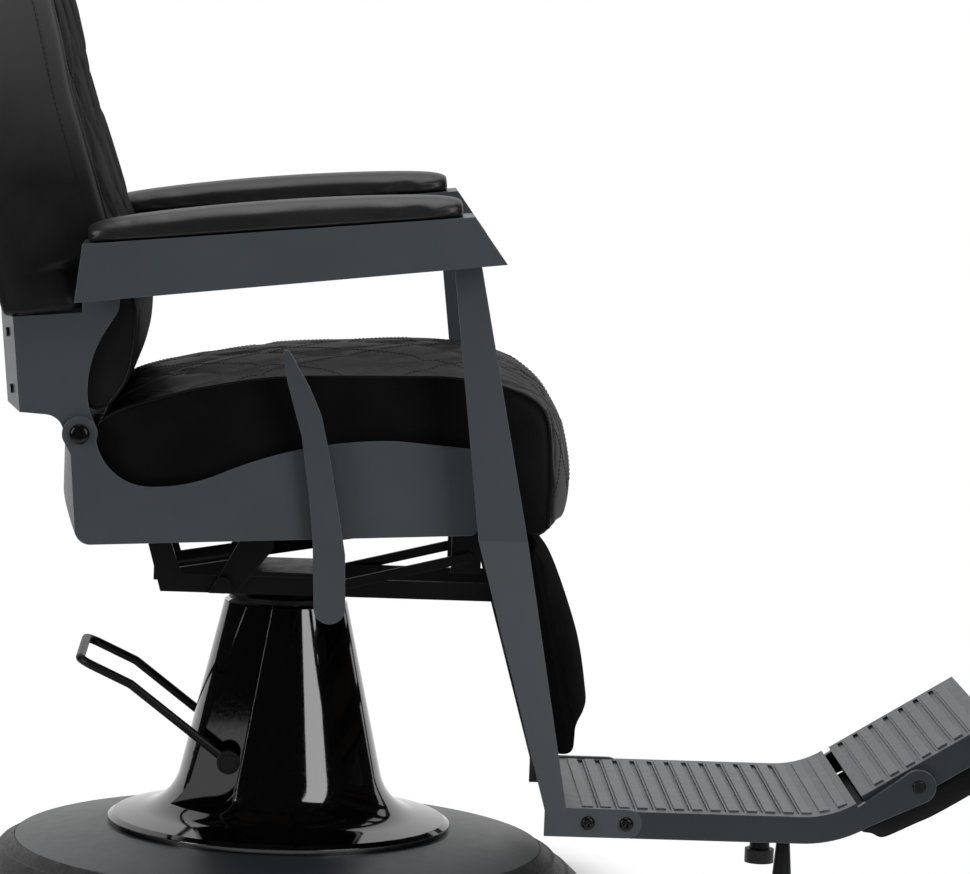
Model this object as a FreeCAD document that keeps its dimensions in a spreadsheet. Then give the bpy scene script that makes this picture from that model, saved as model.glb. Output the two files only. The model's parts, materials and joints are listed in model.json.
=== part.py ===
"""Barber chair on a hydraulic column.

The back, the arms, the front posts and the seat form a four-bar linkage, so that the footrest
rises as the back reclines. +X is the front, +Z is up, and the origin is on the column's axis at the floor.
Lengths are in millimetres.
"""
import FreeCAD
import Part
import Sketcher
import math
import os
import re

SIZES = {
    # round base
    "ring_skirt": 17,
    "ring_radius": 343, "ring_width": 46, "ring_rise": 46, "ring_lip": 10, "ring_step": 4, "ring_ledge": 9,
    "base_plate_thickness": 12,
    "dish_sheet": 4, "dish_flat_radius": 200, "dish_flat_height": 64, "dish_hole_radius": 118,
    "soft_gap": 0.3, "running_gap": 0.05,
    # pump and ram
    "pump_flange_radius": 105, "pump_flange_thickness": 14, "pump_radius": 46,
    "pump_floor": 40, "ram_radius": 30, "ram_foot": 44,
    "base_bolt_circle": 85, "base_bolt_radius": 10, "base_bolt_head": 10, "base_bolt_shank": 6,
    # bell-shaped column cover
    "bell_flange_radius": 193, "bell_edge": 6, "bell_foot_radius": 113, "bell_foot": 125,
    "bell_top_radius": 69, "bell_top": 318, "bell_bore": 52, "bell_cap": 6, "bell_mouth": 34,
    "bell_flare": 48, "rib_half": 54, "pocket_top_x": 15, "pocket_foot_x": 48, "pocket_floor": 92,
    "pocket_corner": 25,
    # pump pedal
    "pedal_x": -58, "pedal_reach": 96, "pedal_z": 147, "pedal_half": 87, "pedal_rod": 5,
    "pedal_shaft_radius": 8,
    "pedal_bend_x": -169, "pedal_bend_z": 231, "pedal_end_x": -226, "pedal_end_z": 257,
    "pedal_corner": 16, "pedal_clamp_radius": 13, "pedal_clamp_width": 14,
    # under-frame
    "hub_gap": 3, "rail_rise": 15, "rail_height": 20, "pan_rise": 87,
    "hub_radius": 45, "flange_radius": 64, "flange_sheet": 5, "rail_half": 60, "rail_thickness": 6,
    "rail_rear": -140, "rail_kick": 30, "mount_plate": 5, "mount_length": 116,
    "pan_thickness": 12, "pan_front": 248,
    "bracket_plate": 4, "stay_height": 11,
    # recline lock
    "lock_rise": 6.5,
    "lock_x": -120, "lock_y": 15, "lock_rear": 16, "lock_tilt": 10, "lock_radius": 9.5, "lock_length": 158,
    "lock_rod_radius": 5, "lock_eye_radius": 11, "lock_pin_radius": 5, "lock_pin_play": 1.5,
    "crank_plate": 6, "crank_hub_radius": 14, "crank_end_radius": 9,
    # seat tub
    "skirt_gap": 4, "washer_thickness": 2,
    "skirt_sheet": 4, "tub_front": 203, "tub_wave_rise": 58, "tub_wave_rear": 78, "tub_wave_run": 267,
    "tub_rear": -229, "tub_bow": 23, "tub_arch": 34,
    # pivots of the recline linkage
    "pivot_rise": 82, "back_link": 168,
    "back_pivot_x": -227,
    "foot_pivot_x": 245,
    "pivot_radius": 6, "pivot_head_radius": 10, "pivot_head": 6, "ear_radius": 19,
    "arm_pin_radius": 8, "post_pin_radius": 6, "post_pin_play": 4.5, "foot_shaft_radius": 9,
    # seat cushion
    "seat_thickness": 149,
    "seat_half": 220, "seat_front": 282, "seat_crown": 18, "seat_nose": 27,
    "quilt_depth": 7, "panel_inset": 8, "small_inset": 3,
    # recline lever
    "lever_gap": 8,
    "lever_x": 46.5, "lever_sheet": 6, "lever_shaft_radius": 6, "lever_cover": 2,
    "lever_foot_radius": 17,
    # back
    "bracket_depth": 65, "bracket_height": 102,
    "back_lean": 17.3, "back_depth": 132, "back_core": 36,
    "back_top": 325, "back_foot_rear": -78, "back_foot_front": -89, "back_corner": 25, "back_wall": 12,
    "back_lip": 6, "board_thickness": 14, "notch_depth": 62, "notch_top": -38,
    "back_crown": 10, "bracket_sheet": 4, "lumbar_thickness": 12,
    "bracket_bow": 20, "bracket_bow_half": 105, "back_screw_radius": 5,
    # headrest
    "head_bar_width": 30, "head_bar": 8, "head_bar_length": 300, "head_bar_drop": 150, "head_depth": -62,
    "head_pad_half": 130, "head_pad_height": 150, "head_pad_depth": 68, "head_pad_crown": 14,
    "head_gap": 28,
    "collar_width": 64, "collar_depth": 34, "collar_height": 12, "knob_radius": 13, "knob_length": 26,
    # arms
    "arm_gap": 7, "arm_width": 80, "arm_depth": 62, "arm_length": 411, "arm_rise": 43,
    "arm_sheet": 3,
    "arm_lug_sheet": 6, "arm_lug_half": 15,
    "arm_pad_start": 12, "arm_pad_length": 390, "arm_pad_height": 27, "arm_pad_overhang": 3,
    "arm_pad_crown": 7,
    # front posts and footrest
    "post_inset": 27, "lug_gap": 2, "post_foot_width": 24, "deck_length": 266,
    "post_sheet": 6,
    "post_bend_rear": 203, "post_bend_front": 256,
    "post_boss_radius": 15, "post_boss_inner": 200,
    "foot_bolt_radius": 7, "foot_bolt_head": 5,
    "deck_half": 171, "deck_rear": 309, "deck_top": 120, "deck_depth": 30,
    "deck_bend_radius": 110, "deck_rise": 32, "deck_skin": 8, "deck_wall": 10,
    "bar_pitch": 20.2, "bar_width": 14, "bar_height": 2.5,
    "flip_pin_radius": 6, "flip_ear_radius": 19, "flip_play": 0.6,
    "flip_rear": 60, "flip_front": 106, "flip_above": 21, "flip_wall": 10, "flip_below": 11, "flip_pad": 20,
    "leg_top_radius": 7, "leg_foot_radius": 12, "leg_rubber_radius": 17,
    "leg_rubber": 16, "floor_gap": 12,
    # calf pad
    "calf_tilt": 12.2, "calf_half": 138, "calf_depth": 24, "calf_crown": 25,
    "calf_height": 218, "calf_board": 8, "calf_board_height": 130, "strap_thickness": 5, "strap_height": 24,
}

DERIVED = {
    "base_plate_radius": "ring_radius - ring_skirt",
    "hub_foot": "bell_top + hub_gap",
    "rail_foot": "bell_top + rail_rise",
    "rail_top": "rail_foot + rail_height",
    "pan_foot": "rail_top + pan_rise",
    "lever_z": "rail_foot + rail_height*0.55",
    "foot_pivot_z": "rail_foot + rail_height*0.7",
    "lock_z": "rail_top + lock_rise",
    "skirt_inner": "seat_half + skirt_gap",
    "bracket_inner": "skirt_inner - washer_thickness - bracket_sheet",
    "back_half": "skirt_inner + 2",
    "lever_inner": "skirt_inner + skirt_sheet + lever_gap",
    "arm_inner": "skirt_inner + skirt_sheet + arm_gap",
    "arm_outer": "arm_inner + arm_width",
    "post_inner": "arm_inner + post_inset",
    "arm_lug_inner": "post_inner + post_sheet + lug_gap",
    "tub_foot_rear": "pan_foot - 37",
    "tub_foot_front": "pan_foot - 14",
    "tub_wave_low": "pan_foot + 27.5",
    "tub_panel_top": "pan_foot + 60",
    "back_pivot_z": "pan_foot + pivot_rise",
    "arm_pivot_x": "back_pivot_x + 17",
    "arm_pivot_z": "back_pivot_z + back_link",
    "seat_low_rear": "pan_foot + pan_thickness + 96",
    "seat_high": "pan_foot + pan_thickness + seat_thickness",
    "bracket_rear_foot": "back_pivot_x - bracket_depth",
    "bracket_rear_top": "bracket_rear_foot - 10",
    "bracket_foot": "back_pivot_z + 21",
    "bracket_top": "bracket_foot + bracket_height",
    "lumbar_x": "back_pivot_x + 3",
    "back_x": "back_pivot_x + 27",
    "back_z": "back_pivot_z + 237",
    "arm_rear_foot_x": "arm_pivot_x - 23",
    "arm_rear_foot_z": "arm_pivot_z - 21",
    "arm_rear_top_x": "arm_rear_foot_x + 7",
    "arm_rear_top_z": "arm_rear_foot_z + arm_depth",
    "arm_front_top_x": "arm_rear_top_x + arm_length",
    "arm_front_top_z": "arm_rear_top_z + arm_rise",
    "arm_tip_x": "arm_front_top_x + 36",
    "arm_tip_z": "arm_front_top_z - 49",
    "post_pin_x": "arm_front_top_x - 10",
    "post_pin_z": "arm_front_top_z - 34",
    "post_top": "post_pin_z + 17",
    "post_top_rear": "post_pin_x - 13",
    "post_top_front": "post_pin_x + 13",
    "post_bend": "pan_foot - 14",
    "tab_top": "deck_top + 2",
    "tab_foot": "deck_top - deck_depth",
    "post_foot": "deck_top - 2",
    "post_foot_rear": "deck_rear - 18",
    "post_foot_front": "post_foot_rear + post_foot_width",
    "tab_front": "deck_rear + 89",
    "foot_bolt_rear": "deck_rear + 30",
    "foot_bolt_front": "foot_bolt_rear + 42",
    "bar_first": "deck_rear + 36",
    "bar_half": "deck_half - 15",
    "deck_bend_x": "deck_rear + deck_length",
    "deck_solid": "deck_bend_x - 43",
    "leg_x": "deck_bend_x - 15",
    "leg_half": "deck_half - 49",
    "flip_pin_x": "deck_bend_x + 127",
    "flip_pin_z": "deck_top + 37",
    "calf_x": "deck_rear - 10",
    "calf_z": "deck_top + 64",
    "pump_top": "bell_top - 32",
    "pan_rear": "back_pivot_x + 27",
    "seat_rear": "back_pivot_x + 37",
}

doc = FreeCAD.newDocument("BarberChair")
sheet = doc.addObject("Spreadsheet::Sheet", "Sizes")
CELLS = {alias: str(number) for alias, number in SIZES.items()}
CELLS.update({alias: "=" + formula for alias, formula in DERIVED.items()})
for row, (alias, content) in enumerate(CELLS.items(), start=1):
    sheet.set("A%d" % row, alias)
    sheet.setAlias("B%d" % row, alias)
for row, (alias, content) in enumerate(CELLS.items(), start=1):
    sheet.set("B%d" % row, content)
doc.recompute()

WORD = re.compile(r"[a-z][a-z_0-9]*")
NODES = []


def bound(expression):
    """The expression with each size named as a cell of the sheet."""
    return WORD.sub(lambda m: "Sizes." + m.group() if m.group() in CELLS else m.group(), str(expression))


def value(expression):
    """The number that an expression of sizes stands for now."""
    return float(sheet.evalExpression(bound(expression)))


def node(part, label):
    """Names a finished sub-part and puts it on the list of pieces."""
    part.Label = label
    NODES.append(part)
    return part


def place(part, x=0, y=0, z=0, tilt=0):
    """Puts a sub-part at (x, y, z), leaning by tilt degrees so that its top goes to the rear."""
    part.Placement = FreeCAD.Placement(FreeCAD.Vector(), FreeCAD.Rotation(FreeCAD.Vector(0, -1, 0),
                                                                          value(tilt)))
    for axis, place_expression in zip("xyz", (x, y, z)):
        part.setExpression("Placement.Base." + axis, bound(place_expression))
    part.setExpression("Placement.Rotation.Angle", bound(tilt))
    return part


def arc(start, end, radius):
    """The arc between two points: it turns left for a plus radius, right for a minus one."""
    chord = end - start
    middle = (start + end) * 0.5
    left = FreeCAD.Vector(-chord.y, chord.x, 0).normalize()
    reach = math.sqrt(max(radius * radius - chord.Length ** 2 / 4, 0)) * (1 if radius > 0 else -1)
    circle = Part.Circle(middle + left * reach, FreeCAD.Vector(0, 0, 1), abs(radius))
    first, last = (start, end) if radius > 0 else (end, start)
    return Part.ArcOfCircle(circle, circle.parameter(first), circle.parameter(last))


class Piece:
    """One sub-part built from sketches whose points are tied to the sheet."""

    def __init__(self, label, alone=True):
        self.body = doc.addObject("PartDesign::Body", label)
        self.body.Label = label
        if alone:
            node(self.body, label)

    def sketch(self, plane, points, offset=0):
        """A closed outline of (across, up) points; a third entry bends the side that leaves the point."""
        drawing = self.body.newObject("Sketcher::SketchObject", self.body.Label + "_outline")
        origin = self.body.Origin.OriginFeatures
        drawing.AttachmentSupport = [([f for f in origin if f.Role == plane + "_Plane"][0], "")]
        drawing.MapMode = "FlatFace"
        sign = "-" if plane == "XZ" else ""
        drawing.setExpression("AttachmentOffset.Base.z", bound("%s(%s)" % (sign, offset)))
        corners = [FreeCAD.Vector(value(p[0]), value(p[1]), 0) for p in points]
        ends = []
        for index, point in enumerate(points):
            start, end = corners[index], corners[(index + 1) % len(points)]
            radius = value(point[2]) if len(point) > 2 else None
            side = Part.LineSegment(start, end) if radius is None else arc(start, end, radius)
            drawing.addGeometry(side, False)
            ends.append((2, 1) if radius is not None and radius < 0 else (1, 2))
        for index, point in enumerate(points):
            after = (index + 1) % len(points)
            drawing.addConstraint(Sketcher.Constraint("Coincident", index, ends[index][1], after,
                                                      ends[after][0]))
            for kind, text, number in (("DistanceX", point[0], corners[index].x),
                                       ("DistanceY", point[1], corners[index].y)):
                tie = drawing.addConstraint(Sketcher.Constraint(kind, -1, 1, index, ends[index][0], number))
                drawing.setExpression("Constraints[%d]" % tie, bound(text))
            if len(point) > 2:
                tie = drawing.addConstraint(Sketcher.Constraint("Radius", index, abs(value(point[2]))))
                drawing.setExpression("Constraints[%d]" % tie, bound("abs(%s)" % point[2]))
        return drawing

    def circle(self, plane, across, up, radius, offset=0):
        """A round outline about a point."""
        drawing = self.body.newObject("Sketcher::SketchObject", self.body.Label + "_circle")
        origin = self.body.Origin.OriginFeatures
        drawing.AttachmentSupport = [([f for f in origin if f.Role == plane + "_Plane"][0], "")]
        drawing.MapMode = "FlatFace"
        sign = "-" if plane == "XZ" else ""
        drawing.setExpression("AttachmentOffset.Base.z", bound("%s(%s)" % (sign, offset)))
        centre = FreeCAD.Vector(value(across), value(up), 0)
        drawing.addGeometry(Part.Circle(centre, FreeCAD.Vector(0, 0, 1), value(radius)), False)
        ties = (("DistanceX", (-1, 1, 0, 3, centre.x), across), ("DistanceY", (-1, 1, 0, 3, centre.y), up),
                ("Radius", (0, value(radius)), radius))
        for kind, target, text in ties:
            tie = drawing.addConstraint(Sketcher.Constraint(kind, *target))
            drawing.setExpression("Constraints[%d]" % tie, bound(text))
        return drawing

    def prism(self, plane, points, start, end, cut=False):
        """Adds, or cuts away, the outline between two distances from its plane."""
        return self.extrude(self.sketch(plane, points, "((%s) + (%s))/2" % (start, end)), start, end, cut)

    def round(self, plane, across, up, radius, start, end, cut=False):
        """Adds, or cuts away, a round bar between two distances from its plane."""
        return self.extrude(self.circle(plane, across, up, radius, "((%s) + (%s))/2" % (start, end)), start,
                            end, cut)

    def extrude(self, drawing, start, end, cut):
        doc.recompute()
        kind = "Pocket" if cut else "Pad"
        before = self.body.Shape.Volume if cut else 0
        feature = self.body.newObject("PartDesign::" + kind, self.body.Label + "_" + kind.lower())
        feature.Profile = drawing
        feature.SideType = "Symmetric"
        feature.setExpression("Length", bound("abs((%s) - (%s))" % (end, start)))
        doc.recompute()
        if cut and self.body.Shape.Volume > before - 1e-6:
            raise RuntimeError("a cut of %s removes nothing" % self.body.Label)
        return feature

    def revolve(self, points):
        """Turns an outline of (radius, height) points about the upright axis."""
        feature = self.body.newObject("PartDesign::Revolution", self.body.Label + "_turned")
        feature.Profile = self.sketch("XZ", points)
        feature.ReferenceAxis = ([f for f in self.body.Origin.OriginFeatures if f.Role == "Z_Axis"][0],
                                 [""])
        feature.Angle = 360
        return feature

    def loft(self, plane, sections):
        """Joins outlines at several distances from a plane with straight sides."""
        drawings = [self.sketch(plane, points, offset) for offset, points in sections]
        doc.recompute()
        feature = self.body.newObject("PartDesign::AdditiveLoft", self.body.Label + "_loft")
        feature.Profile = drawings[0]
        feature.Sections = drawings[1:]
        feature.Ruled = True
        return feature

    def fillet(self, radius, chosen):
        """Rounds the edges that a test picks by their middle point and direction."""
        doc.recompute()
        tip = self.body.Tip
        names = []
        for number, edge in enumerate(tip.Shape.Edges, start=1):
            first, last = edge.Vertexes[0].Point, edge.Vertexes[-1].Point
            if chosen((first + last) * 0.5, (last - first), edge):
                names.append("Edge%d" % number)
        feature = self.body.newObject("PartDesign::Fillet", self.body.Label + "_rounded")
        feature.Base = (tip, names)
        feature.setExpression("Radius", bound(radius))
        return feature


def side_sign(side):
    return "-1" if side == "right" else "1"


def between(side, inner, outer):
    """The two distances across the chair of a piece on its right or left side."""
    sign = side_sign(side)
    return "%s*(%s)" % (sign, inner), "%s*(%s)" % (sign, outer)


def cylinder(radius, height, x, y, z, direction):
    """A round bar from a point, along one axis of the chair."""
    bar = doc.addObject("Part::Cylinder", "bar")
    bar.setExpression("Radius", bound(radius))
    bar.setExpression("Height", bound(height))
    turn = {"x": FreeCAD.Rotation(FreeCAD.Vector(0, 1, 0), 90), "z": FreeCAD.Rotation()}
    turn["y"] = FreeCAD.Rotation(FreeCAD.Vector(1, 0, 0), -90)
    bar.Placement.Rotation = turn[direction]
    for axis, text in zip("xyz", (x, y, z)):
        bar.setExpression("Placement.Base." + axis, bound(text))
    return bar


def joined(kind, parts, label):
    """One node from several shapes: fused where they meet, or a group of separate solids."""
    group = doc.addObject("Part::MultiFuse" if kind == "fuse" else "Part::Compound", label)
    setattr(group, "Shapes" if kind == "fuse" else "Links", parts)
    return node(group, label)


def triangle(a, b, c):
    return Part.Face(Part.makePolygon([a, b, c, a]))


def stitch_gaps(j, k, quilt):
    """How far a grid point lies from both families of stitch lines: 0 on a line, 1 midway between lines."""
    column, row, every = quilt
    gaps = []
    for step in (j - column + k - row, j - column - k + row):
        step = step % every
        gaps.append(min(step, every - step) * 2.0 / every)
    return gaps


def puff(j, k, quilt):
    """Share of the full quilting height at a grid point."""
    rising, falling = stitch_gaps(j, k, quilt)
    return (math.sin(rising * math.pi / 2) * math.sin(falling * math.pi / 2)) ** 0.6


def cut_forward(j, k, quilt):
    """Whether the grid square is cut from its (j, k) corner, so that stitch lines stay straight creases."""
    if quilt is None:
        return (j + k) % 2 == 0
    if stitch_gaps(j, k, quilt)[1] == 0:
        return True
    if stitch_gaps(j + 1, k, quilt)[0] == 0:
        return False
    return puff(j, k, quilt) + puff(j + 1, k + 1, quilt) > puff(j + 1, k, quilt) + puff(j, k + 1, quilt)


def soft_solid(loops, label, quilt):
    """A padded form through closed loops of points, capped flat at both ends."""
    count = len(loops[0])
    faces = []
    for j in range(len(loops) - 1):
        for k in range(count):
            a, b = loops[j][k], loops[j][(k + 1) % count]
            c, d = loops[j + 1][(k + 1) % count], loops[j + 1][k]
            pair = ((a, b, c), (a, c, d)) if cut_forward(j, k, quilt) else ((a, b, d), (b, c, d))
            faces += [triangle(*corner) for corner in pair]
    for loop in (loops[0], loops[-1]):
        faces.append(Part.Face(Part.makePolygon(loop + [loop[0]])))
    shell = Part.Shell(faces)
    shell.sewShape()
    solid = Part.Solid(shell)
    if solid.Volume < 0:
        solid.reverse()
    feature = doc.addObject("Part::Feature", label)
    feature.Shape = solid
    return node(feature, label)


def along(points, steps):
    """Points spaced evenly by length along an open run of (across, up) corners."""
    vectors = [FreeCAD.Vector(x, 0, z) for x, z in points]
    return Part.makePolygon(vectors).discretize(Number=steps + 1)


def outward(loop, k):
    """Unit vector pointing out of a closed section at its point k."""
    turn = sum(a.x * b.z - b.x * a.z for a, b in zip(loop, loop[1:] + loop[:1]))
    run = loop[(k + 1) % len(loop)] - loop[k - 1]
    facing = FreeCAD.Vector(run.z, 0, -run.x) if turn > 0 else FreeCAD.Vector(-run.z, 0, run.x)
    return facing.normalize()


def cushion(label, half, centre, edge, soft, columns, tuck, quilted=None, inset="panel_inset"):
    """A pad between two side seams. Its section swells from the edge outline to the centre outline.

    Both outlines are lists of (corners, steps) runs round the section; the first soft points are
    upholstery. The end panels stand out by tuck and are drawn in along the upholstery. quilted is
    (first, last, row): the points from first to last carry diamond quilting whose lines cross on the
    middle column at row.
    """
    def section(runs):
        return [point for corners, steps in runs for point in along(corners, steps)[:-1]]

    middle, seam = section(centre), section(edge)
    first, last, row = quilted or (0, 0, 0)
    grid = (columns // 2, row, 6)
    loops = []
    for j in range(columns + 1):
        across = 2.0 * j / columns - 1
        swell = 1 - across * across
        loop = [s + (m - s) * swell for s, m in zip(seam, middle)]
        raised = []
        for k, point in enumerate(loop):
            if first < k < last and 0 < j < columns:
                point = point + outward(loop, k) * (puff(j, k, grid) * value("quilt_depth"))
            raised.append(FreeCAD.Vector(point.x, half * across, point.z))
        loops.append(raised)
    drawn_in = value(inset)
    panel = [point - outward(seam, k) * (drawn_in if 0 < k < soft else 0) for k, point in enumerate(seam)]
    for side in (-1, 1):
        cap = [FreeCAD.Vector(point.x, side * (half + tuck), point.z) for point in panel]
        loops.insert(0 if side < 0 else len(loops), cap)
    return soft_solid(loops, label, (grid[0] + 1, row, 6) if quilted else None)


def post_inner_at(height):
    """How far out the inner face of a front post is at a height below its bend."""
    slope = "(post_inner - deck_half + post_sheet)/(post_bend - post_foot)"
    return "deck_half - post_sheet + (%s - post_foot)*%s" % (height, slope)


def lean(n, v):
    """A point of the back's own leaning frame: n in front of the seam line, v up along it."""
    x = "back_x + (%s)*cos(back_lean) - (%s)*sin(back_lean)" % (n, v)
    z = "back_z + (%s)*sin(back_lean) + (%s)*cos(back_lean)" % (n, v)
    return x, z


def rise(u, w):
    """A point of the flip plate's sloping frame: u forwards from its pin, w above it."""
    x = "flip_pin_x + (%s)*cos(deck_rise) - (%s)*sin(deck_rise)" % (u, w)
    z = "flip_pin_z + (%s)*sin(deck_rise) + (%s)*cos(deck_rise)" % (u, w)
    return x, z


def numbers(points):
    """The present values of a run of (across, up) expressions."""
    return [(value(x), value(z)) for x, z in points]


def base_nodes():
    plate = Piece("base_plate")
    plate.revolve([("0", "0"), ("base_plate_radius", "0"), ("base_plate_radius", "base_plate_thickness"),
                   ("0", "base_plate_thickness")])
    slope = "(ring_rise - ring_lip)"
    low, high = "ring_lip + %s*0.33" % slope, "ring_lip + %s*0.72" % slope
    inner = "ring_radius - ring_width + soft_gap"
    ledge = "ring_radius - ring_width - ring_ledge"
    ring = Piece("base_ring")
    ring.revolve([("base_plate_radius + soft_gap", "0"), ("ring_radius", "0"), ("ring_radius", "ring_lip"),
                  ("ring_radius - ring_width*0.28", low), ("ring_radius - ring_width*0.28 - ring_step",
                                                           low),
                  ("ring_radius - ring_width*0.64", high), ("ring_radius - ring_width*0.64 - ring_step",
                                                            high),
                  (inner, "ring_rise"), (inner, "ring_rise - dish_sheet"),
                  (ledge, "ring_rise - dish_sheet"),
                  (ledge, "base_plate_thickness"), ("base_plate_radius + soft_gap",
                                                    "base_plate_thickness")])
    rim = "ring_radius - ring_width - soft_gap"
    dish = Piece("base_cover")
    dish.revolve([(rim, "ring_rise - dish_sheet"), (rim, "ring_rise"),
                  ("dish_flat_radius", "dish_flat_height"),
                  ("dish_hole_radius", "dish_flat_height"), ("dish_hole_radius",
                                                             "dish_flat_height - dish_sheet"),
                  ("dish_flat_radius", "dish_flat_height - dish_sheet"), (ledge, "ring_rise - dish_sheet")])
    flange_top = "base_plate_thickness + pump_flange_thickness"
    bore = "ram_radius + running_gap"
    pump = Piece("pump_cylinder")
    pump.revolve([("0", "base_plate_thickness"), ("pump_flange_radius", "base_plate_thickness"),
                  ("pump_flange_radius", flange_top), ("pump_radius", flange_top),
                  ("pump_radius", "pump_top"),
                  (bore, "pump_top"), (bore, "pump_floor"), ("0", "pump_floor")])
    bolts = []
    for step in range(6):
        x = "base_bolt_circle*cos(%d)" % (60 * step)
        y = "base_bolt_circle*sin(%d)" % (60 * step)
        pump.round("XY", x, y, "base_bolt_shank + soft_gap", "base_plate_thickness", flange_top, cut=True)
        bolts.append(cylinder("base_bolt_shank", "pump_flange_thickness", x, y, "base_plate_thickness",
                              "z"))
        bolts.append(cylinder("base_bolt_radius", "base_bolt_head", x, y, flange_top, "z"))
    pairs = []
    for shank, head in zip(bolts[0::2], bolts[1::2]):
        whole = doc.addObject("Part::Fuse", "bolt")
        whole.Base, whole.Tool = shank, head
        pairs.append(whole)
    joined("group", pairs, "base_bolts")
    node(cylinder("ram_radius", "rail_top - soft_gap - ram_foot", 0, 0, "ram_foot", "z"), "ram")


def column_nodes():
    bell = Piece("column_cover")
    foot = "dish_flat_height"
    bell.revolve([("bell_bore", foot), ("bell_flange_radius", foot),
                  ("bell_flange_radius", foot + " + bell_edge"),
                  ("bell_flange_radius - bell_edge", foot + " + bell_edge*1.7"),
                  ("bell_foot_radius + bell_flare", foot + " + bell_edge*2.6", "-1.21*bell_flare"),
                  ("bell_foot_radius", "bell_foot"), ("bell_top_radius", "bell_top"),
                  ("bell_mouth", "bell_top"),
                  ("bell_mouth", "bell_top - bell_cap"), ("bell_bore", "bell_top - bell_cap")])
    far = "-2*bell_flange_radius"
    edge = "-pocket_foot_x"
    outline = [(far, "pocket_floor"), (edge + " - pocket_corner", "pocket_floor", "pocket_corner"),
               (edge, "pocket_floor + pocket_corner"), ("-pocket_top_x", "bell_top + 1"),
               (far, "bell_top + 1")]
    for sign in ("-1", "1"):
        bell.prism("XZ", outline, sign + "*rib_half", sign + "*bell_flange_radius", cut=True)
    bell.round("XZ", "pedal_x", "pedal_z", "pedal_shaft_radius + running_gap", "-bell_flange_radius",
               "bell_flange_radius", cut=True)
    node(cylinder("pedal_shaft_radius", "2*pedal_reach", "pedal_x", "-pedal_reach", "pedal_z", "y"),
         "pedal_shaft")
    side = [("pedal_x", "pedal_z"), ("pedal_bend_x", "pedal_bend_z"), ("pedal_end_x", "pedal_end_z")]
    run = [FreeCAD.Vector(x, -value("pedal_half"), z) for x, z in numbers(side)]
    run += [FreeCAD.Vector(p.x, -p.y, p.z) for p in reversed(run)]
    rod = bent_rod(run, value("pedal_rod"), value("pedal_corner"))
    for sign in (-1, 1):
        start = FreeCAD.Vector(run[0].x, sign * value("pedal_half") - value("pedal_clamp_width") / 2,
                               run[0].z)
        rod = rod.fuse(Part.makeCylinder(value("pedal_clamp_radius"), value("pedal_clamp_width"), start,
                                         FreeCAD.Vector(0, 1, 0)))
    hole = Part.makeCylinder(value("pedal_shaft_radius + running_gap"), value("4*pedal_reach"),
                             FreeCAD.Vector(run[0].x, -value("2*pedal_reach"), run[0].z),
                             FreeCAD.Vector(0, 1, 0))
    pedal = doc.addObject("Part::Feature", "pump_pedal")
    pedal.Shape = rod.cut(hole).removeSplitter()
    node(pedal, "pump_pedal")


def bent_rod(points, radius, corner):
    """A round rod along straight runs with rounded corners between them."""
    edges = []
    start = points[0]
    for before, here, after in zip(points, points[1:], points[2:]):
        back, ahead = (before - here).normalize(), (after - here).normalize()
        half = back.getAngle(ahead) / 2
        setback = corner / math.tan(half)
        leave, join = here + back * setback, here + ahead * setback
        bisector = (back + ahead).normalize()
        middle = here + bisector * (corner / math.sin(half) - corner)
        edges += [Part.makeLine(start, leave), Part.Arc(leave, middle, join).toShape()]
        start = join
    edges.append(Part.makeLine(start, points[-1]))
    spine = Part.Wire(edges)
    circle = Part.makeCircle(radius, points[0], points[1] - points[0])
    return spine.makePipeShell([Part.Wire(circle)], True, False)


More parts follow.
